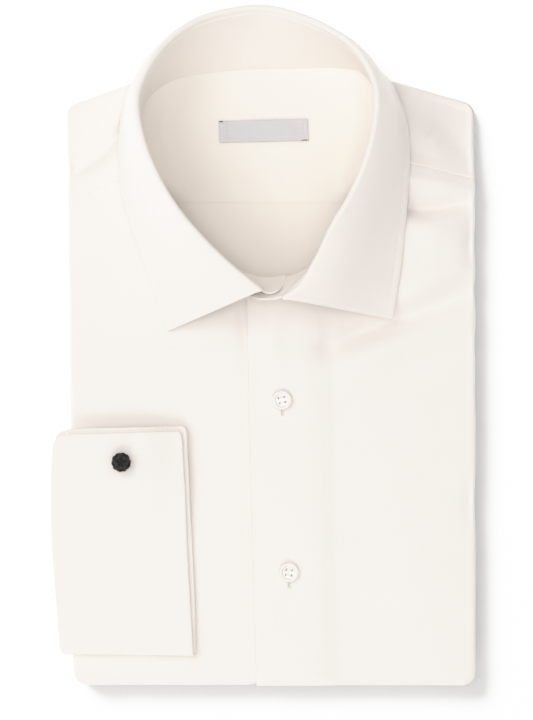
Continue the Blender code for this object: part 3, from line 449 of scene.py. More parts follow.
def creases(x, y):
    """Rise of the cloth over its plain form: creases, puckers and slight unevenness."""
    rise = 0.10 * np.sin(x / 11.3 + 1.3 + 0.8 * np.sin(y / 19.0)) * np.sin(y / 14.0 + 0.4)
    rise += 0.09 * np.sin((0.6 * x + 0.8 * y) / 8.1 + 2.1) * np.sin((0.8 * x - 0.5 * y) / 17.0)
    for widen, power, line in CREASE_LINES:
        across, place = nearest(x, y, line)
        rows = np.arange(len(line))
        wide = np.interp(place, rows, line[:, 2])
        high = np.interp(place, rows, line[:, 3])
        wide = np.where(across > 0, wide * widen, wide)
        rise += high * np.exp(-(np.hypot(across / wide, 0.12) ** power))
    return rise


def on_cloth(x, y):
    """Outer face of the body's cloth at places, creases included."""
    lift = np.where(x > -12.0, overlap_lift(x, y), 0.0)
    return cloth_top(x, y) + lift + creases(x, y)


# Meshes

def forward(points, wrap):
    """Step of rows of points at each of them."""
    return np.roll(points, -1, axis=0) - np.roll(points, 1, axis=0) if wrap else np.gradient(points, axis=0)


def grid_normals(grid, wrap=False):
    return unit(np.cross(forward(grid, wrap), np.gradient(grid, axis=1)))


def placed(name, data):
    obj = bpy.data.objects.new(name, data)
    bpy.context.scene.collection.objects.link(obj)
    return obj


def piece_from(name, points, faces, mat, uv):
    """A smooth mesh from points in millimetres; it rides on the shirt."""
    mesh = bpy.data.meshes.new(name)
    mesh.from_pydata((points * MM).tolist(), [], faces)
    mesh.validate()
    index = np.zeros(len(mesh.loops), int)
    mesh.loops.foreach_get("vertex_index", index)
    mesh.uv_layers.new(name="cloth").data.foreach_set("uv", (uv[index] * UV_MM).ravel())
    mesh.shade_smooth()
    mesh.materials.append(mat)
    obj = placed(name, mesh)
    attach(obj, "root")
    return obj


def band(rings):
    """Faces between closed rings of point numbers."""
    a, b = rings[:-1], rings[1:]
    return np.stack([a, np.roll(a, -1, axis=1), np.roll(b, -1, axis=1), b], axis=-1).reshape(-1, 4).tolist()


def turned_edge(edge, normals, inward, radius, turns):
    """Rows of points that turn an edge of cloth under itself."""
    turns = [(math.cos(math.radians(turn)), math.sin(math.radians(turn))) for turn in turns]
    return [edge + normals * (radius * (c - 1)) - inward * (radius * s) for c, s in turns]


def supported(grid, uv, wrap):
    """Adds a row or column close to each cut edge, so that the edge stays crisp."""
    def both(a, axis):
        first = a.take([0], axis) * 0.8 + a.take([1], axis) * 0.2
        last = a.take([-1], axis) * 0.8 + a.take([-2], axis) * 0.2
        head, body, tail = a.take([0], axis), a.take(range(1, a.shape[axis] - 1), axis), a.take([-1], axis)
        return np.concatenate([head, first, body, last, tail], axis)
    grid, uv = both(grid, 1), both(uv, 1)
    return (grid, uv) if wrap else (both(grid, 0), both(uv, 0))


def arc_uv(grid, ref=0):
    """Lengths along the rows, and along one column, as the weave's directions."""
    u, v = lengths(grid, 1), lengths(grid[:, ref])
    return np.stack(np.broadcast_arrays(u - u[:, [ref]], v[:, None]), axis=2)


def sheet(name, grid, mat, out, back, wrap=False, flip=False, uv=None):
    """A closed sheet of cloth on a grid of points, its cut edges rounded."""
    uv = arc_uv(grid) if uv is None else uv
    if flip:
        grid, uv = grid[:, ::-1], uv[:, ::-1]
    grid, uv = supported(grid, uv, wrap)
    n, m = grid.shape[:2]
    normals = grid_normals(grid, wrap)
    idx = np.arange(n * m).reshape(n, m)
    rows = idx if not wrap else np.concatenate([idx, idx[:1]], axis=0)
    a, b, c, d = rows[:-1, :-1], rows[1:, :-1], rows[1:, 1:], rows[:-1, 1:]
    outer = np.stack([a, b, c, d], axis=-1).reshape(-1, 4)
    inner = outer[:, ::-1] + n * m
    if wrap:
        loops = [idx[:, 0], idx[::-1, -1]]
        aside = [unit(grid[:, 0] - grid[:, 1]), unit(grid[::-1, -1] - grid[::-1, -2])]
    else:
        dj = np.gradient(grid, axis=1)
        di = np.gradient(grid, axis=0)
        side = np.zeros_like(grid)
        side[:, 0] -= unit(dj[:, 0])
        side[:, -1] += unit(dj[:, -1])
        side[0] -= unit(di[0])
        side[-1] += unit(di[-1])
        loop = np.concatenate([idx[:, 0], idx[-1, 1:], idx[-2::-1, -1], idx[0, -2:0:-1]])
        loops, aside = [loop], [unit(side.reshape(-1, 3)[loop])]
    flat_p, flat_n, flat_uv = grid.reshape(-1, 3), normals.reshape(-1, 3), uv.reshape(-1, 2)
    points = [flat_p + flat_n * out, flat_p - flat_n * back]
    coords = [flat_uv, flat_uv]
    faces = outer.tolist() + inner.tolist()
    base, half = 2 * n * m, (out + back) / 2
    for loop, away in zip(loops, aside):
        count = len(loop)
        mid = flat_p[loop] + flat_n[loop] * (out - half)
        rings = [loop]
        for k, turn in enumerate((48, 0, -48)):
            c, s = math.cos(math.radians(turn)), math.sin(math.radians(turn))
            points.append(mid + flat_n[loop] * (half * s) + away * (half * c))
            coords.append(flat_uv[loop])
            rings.append(base + k * count + np.arange(count))
        rings.append(loop + n * m)
        base += 3 * count
        faces += band(np.array(rings)[::-1])
    return piece_from(name, np.concatenate(points), faces, mat, np.concatenate(coords))


# Materials

def node(tree, kind, **values):
    made = tree.nodes.new(kind)
    for key, value in values.items():
        if key == "inputs":
            for slot_name, v in value:
                made.inputs[slot_name].default_value = v
        else:
            setattr(made, key, value)
    return made


def maths(tree, operation, a, b=None):
    made = tree.nodes.new("ShaderNodeMath")
    made.operation = operation
    for slot_id, value in ((0, a), (1, b)):
        if value is None:
            continue
        if isinstance(value, (int, float)):
            made.inputs[slot_id].default_value = value
        else:
            tree.links.new(value, made.inputs[slot_id])
    return made.outputs[0]


def new_material(name, rough, sheen=0.0, sheen_rough=0.5):
    mat = bpy.data.materials.new(name)
    mat.use_nodes = True
    tree = mat.node_tree
    bsdf = tree.nodes["Principled BSDF"]
    bsdf.inputs["Roughness"].default_value = rough
    bsdf.inputs["Sheen Weight"].default_value = sheen
    bsdf.inputs["Sheen Roughness"].default_value = sheen_rough
    return mat, tree, bsdf


def tone(tree, factor, dark, light):
    """A colour between two, by a factor."""
    mix = tree.nodes.new("ShaderNodeMix")
    mix.data_type = "RGBA"
    mix.inputs[6].default_value = (*dark, 1.0)
    mix.inputs[7].default_value = (*light, 1.0)
    tree.links.new(factor, mix.inputs[0])
    return mix.outputs[2]


def noise(tree, vector, scale, detail=2.0, stretch=(1.0, 1.0, 1.0)):
    turn = node(tree, "ShaderNodeMapping", inputs=(("Scale", stretch),))
    tree.links.new(vector, turn.inputs["Vector"])
    made = node(tree, "ShaderNodeTexNoise", inputs=(("Scale", scale), ("Detail", detail)))
    tree.links.new(turn.outputs[0], made.inputs["Vector"])
    return made.outputs["Fac"]


def bump(tree, bsdf, height, distance, strength=1.0):
    made = node(tree, "ShaderNodeBump", inputs=(("Strength", strength), ("Distance", distance)))
    tree.links.new(height, made.inputs["Height"])
    tree.links.new(made.outputs[0], bsdf.inputs["Normal"])


def poplin(name, dark, light, warp=0.26, weft=0.34, rough=0.78):
    """Fine plain weave with slightly thicker threads here and there."""
    mat, tree, bsdf = new_material(name, rough, 0.12, 0.4)
    uv = node(tree, "ShaderNodeUVMap", uv_map="cloth").outputs[0]
    split = tree.nodes.new("ShaderNodeSeparateXYZ")
    tree.links.new(uv, split.inputs[0])
    ribs = []
    for axis, pitch in (("X", warp), ("Y", weft)):
        turns = maths(tree, "MULTIPLY", split.outputs[axis], 2 * math.pi / UV_MM / pitch)
        ribs.append(maths(tree, "SINE", turns))
    weave = maths(tree, "MULTIPLY", ribs[0], ribs[1])
    slub = noise(tree, uv, 100.0, 2.0, (0.05, 2.4, 1.0))
    slub_up = noise(tree, uv, 100.0, 2.0, (2.4, 0.05, 1.0))
    threads = maths(tree, "ADD", slub, slub_up)
    cloud = noise(tree, uv, 1.6, 3.0)
    mixed = maths(tree, "ADD", maths(tree, "MULTIPLY", threads, 0.35), maths(tree, "MULTIPLY", cloud, 0.3))
    tree.links.new(tone(tree, mixed, dark, light), bsdf.inputs["Base Color"])
    height = maths(tree, "ADD", maths(tree, "MULTIPLY", weave, 0.5), maths(tree, "MULTIPLY", threads, 0.9))
    bump(tree, bsdf, height, 0.00005, 0.7)
    return mat


def thread_material(name, colour):
    mat, tree, bsdf = new_material(name, 0.5, 0.2, 0.3)
    place = tree.nodes.new("ShaderNodeTexCoord").outputs["Object"]
    twist = noise(tree, place, 2600.0, 1.0)
    dark = tuple(c * 0.9 for c in colour)
    tree.links.new(tone(tree, twist, dark, colour), bsdf.inputs["Base Color"])
    bump(tree, bsdf, twist, 0.0001, 0.5)
    return mat


def satin_material():
    mat, tree, bsdf = new_material("satin", 0.42, 0.25, 0.3)
    uv = node(tree, "ShaderNodeUVMap", uv_map="cloth").outputs[0]
    floats = noise(tree, uv, 100.0, 2.0, (0.12, 3.2, 1.0))
    tree.links.new(tone(tree, floats, (0.58, 0.555, 0.575), (0.68, 0.65, 0.665)), bsdf.inputs["Base Color"])
    bump(tree, bsdf, floats, 0.00006, 0.6)
    return mat


def silk_material():
    mat, tree, bsdf = new_material("silk", 0.6, 0.15, 0.35)
    uv = node(tree, "ShaderNodeUVMap", uv_map="cloth").outputs[0]
    split = tree.nodes.new("ShaderNodeSeparateXYZ")
    tree.links.new(uv, split.inputs[0])
    lay = maths(tree, "ADD", maths(tree, "MULTIPLY", split.outputs["X"], 900.0),
                maths(tree, "MULTIPLY", split.outputs["Y"], 700.0))
    ply = maths(tree, "SINE", lay)
    half = maths(tree, "MULTIPLY", maths(tree, "ADD", ply, 1.0), 0.5)
    tree.links.new(tone(tree, half, (0.004, 0.003, 0.0028), (0.022, 0.016, 0.014)), bsdf.inputs["Base Color"])
    bump(tree, bsdf, ply, 0.0001, 0.8)
    return mat


def shell_material():
    mat, tree, bsdf = new_material("shell", 0.28)
    place = tree.nodes.new("ShaderNodeTexCoord").outputs["Object"]
    cloud = noise(tree, place, 320.0, 4.0, (1.0, 2.2, 1.0))
    tree.links.new(tone(tree, cloud, (0.88, 0.82, 0.76), (0.97, 0.92, 0.87)), bsdf.inputs["Base Color"])
    bsdf.inputs["Coat Weight"].default_value = 0.4
    bsdf.inputs["Coat Roughness"].default_value = 0.15
    bump(tree, bsdf, cloud, 0.00002, 0.3)
    return mat


def floor_material():
    mat, tree, bsdf = new_material("floor", 0.9)
    place = tree.nodes.new("ShaderNodeTexCoord").outputs["Object"]
    cloud = noise(tree, place, 3.0, 2.0)
    tree.links.new(tone(tree, cloud, (0.70, 0.70, 0.70), (0.71, 0.71, 0.71)), bsdf.inputs["Base Color"])
    bsdf.inputs["Emission Color"].default_value = (1.0, 1.0, 1.0, 1.0)
    bsdf.inputs["Emission Strength"].default_value = FLOOR_GLOW
    return mat


IVORY = poplin("poplin", (0.90, 0.833, 0.772), (0.968, 0.906, 0.857))
# The cloth inside the neck and in the folded layers is the same poplin made warmer and yellower: painted warm
# shade.
POPLIN_IN_WARM_SHADE = poplin("lining", (0.91, 0.842, 0.766), (0.97, 0.908, 0.846))
THREAD = thread_material("thread", (0.95, 0.92, 0.86))
# Colour of the dark cord down each buttonhole's slit: painted shade.
SHADE = thread_material("painted shade in a buttonhole", (0.62, 0.54, 0.44))
DARK_THREAD = thread_material("tacking", (0.05, 0.045, 0.04))
SATIN = satin_material()
SILK = silk_material()
SHELL = shell_material()


# Body cloth

def strip_stops():
    """Places across a rolled edge: 0 where it begins, 1 at the rim, more where it turns under."""
    up = [math.cos(math.radians(90 - 90 * k / 11)) for k in range(1, 12)]
    return up + [1.0 + k for k in range(1, len(UNDER_TURN) + 1)]


def rolled(starts, ends, cols_t, rows_v, edge_angle, neck_turn=None):
    """Plan and height of a panel whose end rows and side columns roll over and turn under.

    starts and ends hold each row's ends on the flat, cols_t the shares between them.
    """
    cols_u = [0.0] * cols_t.shape[1] + strip_stops()
    v = np.array(rows_v)[:, None]
    u = np.array(cols_u)[None, :]
    t = np.concatenate([cols_t, np.ones((len(rows_v), len(cols_u) - cols_t.shape[1]))], axis=1)
    qx = starts[:, :1] + (ends[:, :1] - starts[:, :1]) * t
    qy = starts[:, 1:] + (ends[:, 1:] - starts[:, 1:]) * t
    m = np.broadcast_to(np.maximum(u, v), qx.shape)
    share = 0.5 * np.minimum(u, v) / np.maximum(m, 1e-9)
    share = np.where(u <= v, share, 1.0 - share)
    turn = np.arctan2(ends[:, 1:] - starts[:, 1:], ends[:, :1] - starts[:, :1]) - edge_angle
    side_angle = edge_angle + (turn + math.pi) % (2 * math.pi) - math.pi
    first = np.full(qx.shape, edge_angle)
    if neck_turn is not None:
        first = edge_angle + (neck_turn - edge_angle) * (1.0 - smooth(t / 0.4))
    angle = first + (side_angle - first) * share
    dx, dy = np.cos(angle), np.sin(angle)
    run = edge_run(qx, qy, dx, dy)
    table = np.array(((0.0, RIM_Z),) + UNDER_TURN)
    inset = np.interp(np.maximum(m - 1.0, 0.0), range(len(table)), table[:, 0])
    reach = np.where(m <= 1.0, run * m, run - inset)
    x, y = qx + dx * reach, qy + dy * reach
    low = np.interp(np.maximum(m - 1.0, 0.0), range(len(table)), table[:, 1])
    z = np.where(m <= 1.0, cloth_top(x, y), low)
    grid = np.stack([x, y, z], axis=2)
    fade = np.clip(1.25 - 0.9 * m, 0.0, 1.0)
    return grid, fade


def body_rows(neck, beyond, centre):
    """Ends of each flat row of a front, from the hem's roll up to under the yoke."""
    hem = OUTLINE[0][1]
    low = hem + SIDE_ROLL
    ys = np.arange(low, neck[0][2] - 1.0, GRID)
    table = [(centre(y), y, y) for y in ys] + list(neck)
    flat = [table[i] for i in range(len(ys))]
    for a, b in zip(table[len(ys) - 1:], table[len(ys):]):
        steps = max(1, int(math.hypot(b[0] - a[0], max(b[1] - a[1], b[2] - a[2])) / GRID))
        flat += [tuple(p + (q - p) * k / steps for p, q in zip(a, b)) for k in range(1, steps + 1)]
    flat += [tuple(p + (q - p) * k / 5 for p, q in zip(neck[-1], beyond)) for k in range(1, 6)]
    rows_v = strip_stops()[::-1] + [0.0] * len(flat)
    flat = [flat[0]] * len(strip_stops()) + flat
    return np.array(flat), rows_v


def front_grid(neck, beyond, side, centre, shares, sunk, lead):
    """A front's plain form, sunk where it passes under the yoke's turned edge."""
    flat, rows_v = body_rows(neck, beyond, centre)
    starts, ys = flat[:, :2], flat[:, 2]
    inside = np.full(len(ys), 20.0 * side)
    rim = np.stack([inside + side * edge_run(inside, ys, side, 0.0), ys], axis=1)
    ends = rim - unit(rim - starts) * roll(ys)[:, None]
    cols = np.array([shares(s, e) for s, e in zip(starts, ends)])
    grid, fade = rolled(starts, ends, cols, rows_v, -math.pi / 2)
    seam = unit(np.array((side_x(neck[-1][2], side) - neck[-1][0], neck[-1][2] - neck[-1][1])))
    past = ((grid[..., :2] - neck[-1][:2]) @ np.array((-seam[1], seam[0]))) * side
    sink = sunk * smooth((past + lead) / 1.6)
    return grid - grid_normals(grid) * (sink * -side)[..., None], fade


def lifted(grid, fade, side, lift):
    """Moves the cloth out by its creases and what carries it."""
    normals = grid_normals(grid) * -side
    rise = creases(grid[..., 0], grid[..., 1]) * fade + lift
    return grid + normals * rise[..., None], normals


def plan_uv(grid):
    """The weave lies square to the shirt, and runs on over the rolled edges."""
    flat = grid[..., :2]
    extra = []
    for axis in (0, 1):
        step = np.diff(grid, axis=1 - axis)
        more = np.linalg.norm(step, axis=2) - np.abs(step[..., axis])
        more = np.cumsum(np.maximum(more, 0.0), axis=1 - axis)
        pad = [(0, 0), (0, 0)]
        pad[1 - axis] = (1, 0)
        extra.append(np.pad(more, pad))
    return flat + np.stack(extra, axis=2) * np.sign(flat)


def front_left():
    """The upper front, buttonhole side: its edge is folded and its facing lies under it."""
    facing_cols = 24

    def centre(y):
        return -4.3 - 5.7 * (y + 193.9) / 221.0

    def shares(start, end):
        run = math.hypot(*(end - start))
        step = max(facing_x(start[1]) - start[0], 3.0)
        s = np.linspace(0.0, 1.0, facing_cols)
        near = FOLD_R + (step - FOLD_R) * (0.5 - 0.5 * np.cos(math.pi * s ** 0.8))
        past = step + np.array([0.5, 1.0, 1.7, 2.6, 4.0, 5.6])
        rest = past[-1] + (run - past[-1]) * np.linspace(0.0, 1.0, 56)[1:]
        return np.concatenate([near, past, rest]) / run

    grid, fade = front_grid(LEFT_NECK, (64.7, 114.1, 100.6), 1, centre, shares, 0.5, 0.9)
    grid, normals = lifted(grid, fade, 1, overlap_lift(grid[..., 0], grid[..., 1]))
    inward = unit(grid[:, 1] - grid[:, 0])
    fold = turned_edge(grid[:, 0], normals[:, 0], inward, FOLD_R, (165, 135, 105, 75, 45, 20))
    facing = grid[:, 1:facing_cols] - normals[:, 1:facing_cols] * (2 * FOLD_R)
    whole = np.concatenate([facing[:, ::-1], np.stack(fold, axis=1), grid], axis=1)
    uv = plan_uv(grid)
    fold_uv = np.repeat(uv[:, :1], len(fold), axis=1)
    mirrored = uv[:, :1] * 2 - uv[:, 1:facing_cols]
    whole_uv = np.concatenate([mirrored[:, ::-1], fold_uv, uv], axis=1)
    obj = sheet("front_left_cloth", whole, IVORY, FRONT_HALF, FRONT_HALF, flip=True, uv=whole_uv)
    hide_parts("front_left")


def front_right():
    """The under front, button side, running on under the upper one."""

    def shares(start, end):
        run = math.hypot(*(end - start))
        hidden = max(start[0] + 9.0, 2.0)
        near = np.linspace(0.0, hidden, 6)[:-1]
        rest = hidden + (run - hidden) * np.linspace(0.0, 1.0, 64)
        return np.concatenate([near, rest]) / run

    grid, fade = front_grid(RIGHT_NECK, (-70.2, 106.6, 87.6), -1, lambda y: UNDER_EDGE_X, shares, 0.45, 0.1)
    under = smooth((grid[..., 0] + 9.0) / 3.5)
    grid, _ = lifted(grid, fade * (1.0 - 0.8 * under), -1, -(hem_sink(grid[..., 1]) + 0.25) * under)
    obj = sheet("front_right_cloth", grid, IVORY, 0.0, BODY_T, uv=plan_uv(grid))
    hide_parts("front_right")


def shoulder_yoke(name, table, side, end_x, slope):
    """The yoke from its turned seam edge on the front over the shoulder fold."""
    corner = OUTLINE[3] if side > 0 else OUTLINE[4]
    length = math.hypot(1.0, slope)
    last_y = corner[1] + (end_x - corner[0]) * slope - SHOULDER_ROLL * length
    nodes = np.array(list(table) + [(end_x, last_y, slope)])
    steps = np.concatenate([np.linspace(0, 1, 9)[:-1], np.linspace(1, len(nodes) - 1, 20)])
    flat = np.stack([np.interp(steps, range(len(nodes)), nodes[:, k]) for k in range(3)], axis=1)
    stops = strip_stops()
    rows_v = [0.0] * len(flat) + stops
    flat = np.concatenate([flat, np.repeat(flat[-1:], len(stops), axis=0)])
    starts = flat[:, :2]
    way = unit(np.stack([np.full(len(flat), side), flat[:, 2] * side], axis=1))
    rim = starts + way * edge_run(*starts.T, *way.T)[:, None]
    ends = rim - way * roll(rim[:, 1])[:, None]
    cols = np.repeat(np.linspace(0.0, 1.0, 44)[None, :], len(flat), axis=0)
    normal = -SIDE_N[2] if side > 0 else -SIDE_N[4]
    edge_angle = math.atan2(normal[1], normal[0])
    grid, fade = rolled(starts, ends, cols, rows_v, edge_angle, math.pi / 2)
    from_seam = np.linalg.norm(flat[:, :2] - flat[0, :2], axis=1)[:, None]
    allowance = 0.2 * (1.0 - smooth((from_seam - 4.5) / 2.5))
    grid, normals = lifted(grid, fade, side, allowance * fade)
    fold = turned_edge(grid[0], normals[0], unit(grid[1] - grid[0]), SEAM_FOLD_R, (160, 120, 80, 40))
    under = grid[1:5] - normals[1:5] * (2 * SEAM_FOLD_R)
    whole = np.concatenate([under[::-1], np.stack(fold), grid])
    uv = plan_uv(grid)
    whole_uv = np.concatenate([uv[:1] * 2 - uv[1:5][::-1], np.repeat(uv[:1], len(fold), axis=0), uv])
    sewn = slice(0, cols.shape[1] + 9)
    sewing(name + "_stitching", stitches(grid[2, sewn] + normals[2, sewn] * YOKE_HALF, normals[2, sewn]))
    obj = sheet(name + "_cloth", whole, IVORY, YOKE_HALF, YOKE_HALF, flip=side > 0, uv=whole_uv)
    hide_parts(name)


# Hidden folds

def outline_stops():
    """Places round the outline with their outward directions."""
    stops = []
    for i, c in enumerate(CENTRES):
        a0 = math.atan2(-SIDE_N[i - 1][1], -SIDE_N[i - 1][0])
        a1 = math.atan2(-SIDE_N[i][1], -SIDE_N[i][0])
        a1 += 2 * math.pi if a1 < a0 else 0.0
        steps = max(2, round((a1 - a0) / math.radians(10)))
        for s in range(steps + 1):
            a = a0 + (a1 - a0) * s / steps
            stops.append((*c, math.cos(a), math.sin(a)))
        run = CENTRES[(i + 1) % len(CENTRES)] - c
        count = max(2, round(np.linalg.norm(run) / 3.0))
        for s in range(1, count):
            stops.append((*(c + run * s / count), *(-SIDE_N[i])))
    return np.array(stops)


def fold_ring(name, low, high, inset, wave, deep, to_spine):
    """One folded layer seen at the edge of the pack, round its whole outline."""
    stops = outline_stops()
    x, y, nx, ny = stops.T
    tucked = smooth((-nx - 0.6) / 0.3) * smooth((y + 186.0) / 8.0) * smooth((-50.0 - y) / 8.0)
    along = np.arctan2(y + 20.0, x) * 3.0
    edge = inset + wave * np.sin(along * 2.3 + low) + 0.5 * wave * np.sin(along * 7.1) + deep * tucked
    r = (high - low) / 2
    turn = [(r * (1 - math.sin(math.radians(a))), (high + low) / 2 + r * math.cos(math.radians(a)))
            for a in (12, 35, 60, 90, 120, 145, 168)]
    spine = np.stack([4.0 + 0.8 * nx, np.clip(y, -95.0, 70.0) + 0.8 * ny], axis=1)

    def ring(depth, share, z):
        reach = CORNER_R - edge - depth
        plan = np.stack([x + nx * reach, y + ny * reach], axis=1) * (1 - share) + spine * share
        return np.concatenate([plan, np.full((len(x), 1), z)], axis=1)

    inward = ((3.6, 0.0), (5.8, 0.0), (5.8, 0.05), (5.8, 0.12), (5.8, 0.22))
    cols = [ring(depth, share, high) for depth, share in inward[::-1]]
    cols += [ring(depth, 0.0, z) for depth, z in turn]
    cols += [ring(depth, share, low) for depth, share in inward]
    if to_spine:
        cols += [ring(5.8, share, low) for share in np.linspace(0.3, 1.0, 9)]
    grid = np.stack(cols, axis=1)
    obj = sheet(name, grid, POPLIN_IN_WARM_SHADE, 0.0, BODY_T, wrap=True, flip=True)
    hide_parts("folded_layers")
    return obj


def hidden_folds():
    obj = fold_ring("fold_back", 0.0, 2.5, 1.0, 0.35, 0.0, True)
    obj = fold_ring("fold_sleeve", 2.75, 5.4, 1.1, 0.4, 10.0, False)


# Inside of the neck

def seam_distance(x, y):
    """How far places are outside the neck seam, negative inside it."""
    loop = np.array([row[:2] for row in COLLAR] + [COLLAR[0][:2]])
    across, _ = nearest(x, y, loop)
    return -across


def back_cloth():
    """Inside back below its yoke seam; toward the fronts it curves up and out of sight."""
    xs, ys = np.linspace(-76.0, 74.0, 90), np.linspace(12.0, BACK_SEAM_Y + 3.0, 46)
    x, y = np.meshgrid(xs, ys)
    out = seam_distance(x, y)
    rise = BACK_RISE + BACK_RISE * smooth((x - 5.0) / 40.0)
    rise *= smooth((out - 1.0) / 9.0) * smooth((BACK_SEAM_Y + 10.0 - y) / 30.0)
    rise += 0.25 * np.sin(x / 17.0 + 0.5) * np.sin(y / 13.0)
    z = FLOOR_Z - 0.5 * smooth((y - BACK_SEAM_Y - 0.2) / 1.5) + rise
    z = np.minimum(z, cloth_top(x, y) - BACK_CLEAR)
    grid = np.stack([x, y, z], axis=2)
    obj = sheet("back_cloth", grid, POPLIN_IN_WARM_SHADE, 0.0, BODY_T, flip=True, uv=grid[..., :2])
    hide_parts("back")


def coons(bottom, top, left, right):
    """Grid between four edges that share their corners."""
    n, m = len(left), len(bottom)
    v, u = np.linspace(0, 1, n)[:, None, None], np.linspace(0, 1, m)[None, :, None]
    ruled = (1 - v) * bottom[None] + v * top[None] + (1 - u) * left[:, None] + u * right[:, None]
    return ruled - ((1 - u) * (1 - v) * bottom[0] + u * (1 - v) * bottom[-1]
                    + (1 - u) * v * top[0] + u * v * top[-1])


SEAM = spline([row[:3] for row in COLLAR], 260)


def yoke_inner():
    """The yoke seen inside the neck, its lower edge turned over the back's, rising to the neck seam."""
    inner = SEAM.copy()
    tangent = unit(np.gradient(SEAM[:, :2], axis=0))
    inner[:, :2] += np.stack([-tangent[:, 1], tangent[:, 0]], axis=1) * 0.2
    sides = []
    for part in (inner[:130], inner[:129:-1]):
        keep = part[part[:, 1] > BACK_SEAM_Y]
        first = keep[0].copy()
        first[1] = BACK_SEAM_Y
        sides.append(np.concatenate([first[None], keep]))

    def split(line, corner_x):
        k = int(np.argmin(np.abs(line[:, 0] - corner_x) + 100.0 * (line[:, 1] < 140.0)))
        return line[: k + 1], line[k:]

    wearer_left, top_left = split(sides[0], 57.0)
    wearer_right, top_right = split(sides[1], -60.0)
    top = np.concatenate([top_right, top_left[::-1]])
    bottom = np.linspace(wearer_right[0], wearer_left[0], 80)
    n = 56
    grid = coons(bottom, spline(top, 80), spline(wearer_right, n), spline(wearer_left, n))
    x, y = grid[..., 0], grid[..., 1]
    depth = np.maximum(-seam_distance(x, y), 0.0)
    near = 1.0 - smooth((depth - 0.2) / 15.0)
    nearest_row = np.hypot(x[..., None] - SEAM[:, 0], y[..., None] - SEAM[:, 1]).argmin(axis=-1)
    level = SEAM[nearest_row, 2]
    keep = smooth((y - BACK_SEAM_Y + 2.0) / 22.0)
    z = FLOOR_Z + 0.22 + (level - FLOOR_Z - 0.22) * near * keep
    z = z + 0.2 * np.sin(x / 15.0 + 1.0) * np.sin(y / 12.0) * (1 - near)
    grid = np.stack([x, y, z], axis=2)
    up, inward = np.array((0.0, 0.0, 1.0)), np.array((0.0, 1.0, 0.0))
    fold = turned_edge(grid[0], up, inward, SEAM_FOLD_R, (160, 120, 80, 40))
    under = grid[1:6] - up * (2 * SEAM_FOLD_R)
    whole = np.concatenate([under[::-1], np.stack(fold), grid])
    obj = sheet("yoke_inner_cloth", whole, POPLIN_IN_WARM_SHADE, 0.0, 0.3, flip=True, uv=whole[..., :2])
    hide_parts("yoke_inner")


# Collar

def bridged(heights, reach=5):
    """Heights that a stiff edge rests on: it spans narrow troughs."""
    count = len(heights)
    high = np.array([heights[max(0, k - reach):k + reach + 1].max() for k in range(count)])
    return np.array([high[max(0, k - reach):k + reach + 1].mean() for k in range(count)])


def collar_rows():
    """Seam, fold and leaf edge all round, the edge resting just over the cloth."""
    rows = np.array(COLLAR)
    rests = rows[:, 8] == 0.0
    rows[rests, 8] = on_cloth(rows[rests, 6], rows[rests, 7]) + COLLAR_T / 2 + LEAF_CLEAR
    lay = np.concatenate([rows[:, 3:6], rows[:, :3], rows[:, 6:9], rests[:, None] * 1.0], axis=1)
    ends = np.array([0.0, 0.004, 0.012, 0.022, 0.03])
    at = np.concatenate([ends, np.linspace(0.036, 0.964, 230), 1 - ends[::-1]])
    fine = spline(lay, at=at)
    edge = fine[:, 6:9]
    near = bridged(on_cloth(edge[:, 0], edge[:, 1])) + COLLAR_T / 2 + LEAF_CLEAR
    weight = smooth((fine[:, 9] - 0.6) / 0.35)
    edge[:, 2] += (near - edge[:, 2]) * weight
    return fine[:, 3:6], fine[:, :3], edge


# Shares along a leaf row, and the columns where the fold ends and the stitching may begin
LEAF_T = np.concatenate([np.linspace(0.04, 0.82, 18), np.linspace(0.84, 0.96, 10), [0.98, 1.0]])
STAND_COL, CREST_COL, SEWN_COL = 2, 9, 12


def leaf_grid():
    """The leaf from inside the stand over the fold to its edge."""
    seam, fold, edge = collar_rows()
    along = np.gradient(fold, axis=0)
    along[:, 2] = 0.0
    along = unit(along)
    outward = np.stack([along[:, 1], -along[:, 0], np.zeros(len(along))], axis=1)
    rows = []
    for s, top, e, fwd, out in zip(seam, fold, edge, along, outward):
        rise = top - s
        up = math.atan2(rise[2], rise @ out)
        chord = math.atan2(e[2] - top[2], (e - top) @ out)
        chord -= 2 * math.pi if chord > 0 else 0.0
        away = min(chord + math.radians(LEAF_OPEN), up - math.radians(75))
        mid = (up + away) / 2 + math.pi / 2
        centre = np.array((-CREST_R * math.cos(mid), -CREST_R * math.sin(mid)))
        turns = [up + math.pi / 2 + (away - up) * k / 8 for k in range(9)]
        crest = [centre + CREST_R * np.array((math.cos(h), math.sin(h))) for h in turns]
        down = np.array((math.cos(up), math.sin(up)))
        inside = [crest[0] - down * d for d in (UNDER_FOLD + 3.0, UNDER_FOLD + 1.0, UNDER_FOLD, 1.3)]
        end = np.array(((e - top) @ out, e[2] - top[2]))
        p0 = crest[-1]
        reach = np.linalg.norm(end - p0)
        p1 = p0 + 0.33 * reach * np.array((math.cos(away), math.sin(away)))
        back = chord + math.pi - math.radians(LEAF_REST)
        p2 = end + 0.40 * reach * np.array((math.cos(back), math.sin(back)))
        t = LEAF_T[:, None]
        curve = (1 - t) ** 3 * p0 + 3 * (1 - t) ** 2 * t * p1 + 3 * (1 - t) * t * t * p2 + t ** 3 * end
        aside = (e - top) @ fwd
        plan = np.concatenate([inside, crest, curve])
        straight = smooth((abs(end[0]) - 12.0) / 10.0)
        along_t = LEAF_T * (1 - straight) + curve[:, 0] / (end[0] or 1.0) * straight
        share = np.concatenate([np.zeros(len(inside) + len(crest)), along_t])
        points = top + np.outer(plan[:, 0], out) + np.outer(aside * share, fwd)
        points[:, 2] += plan[:, 1]
        rows.append(points)
    return np.array(rows)


def edge_gap(grid):
    """Distance of each point from the leaf's outer edge and from its two front edges."""
    return lengths(grid[:, ::-1], 1)[:, ::-1], np.minimum(lengths(grid), lengths(grid[::-1])[::-1])


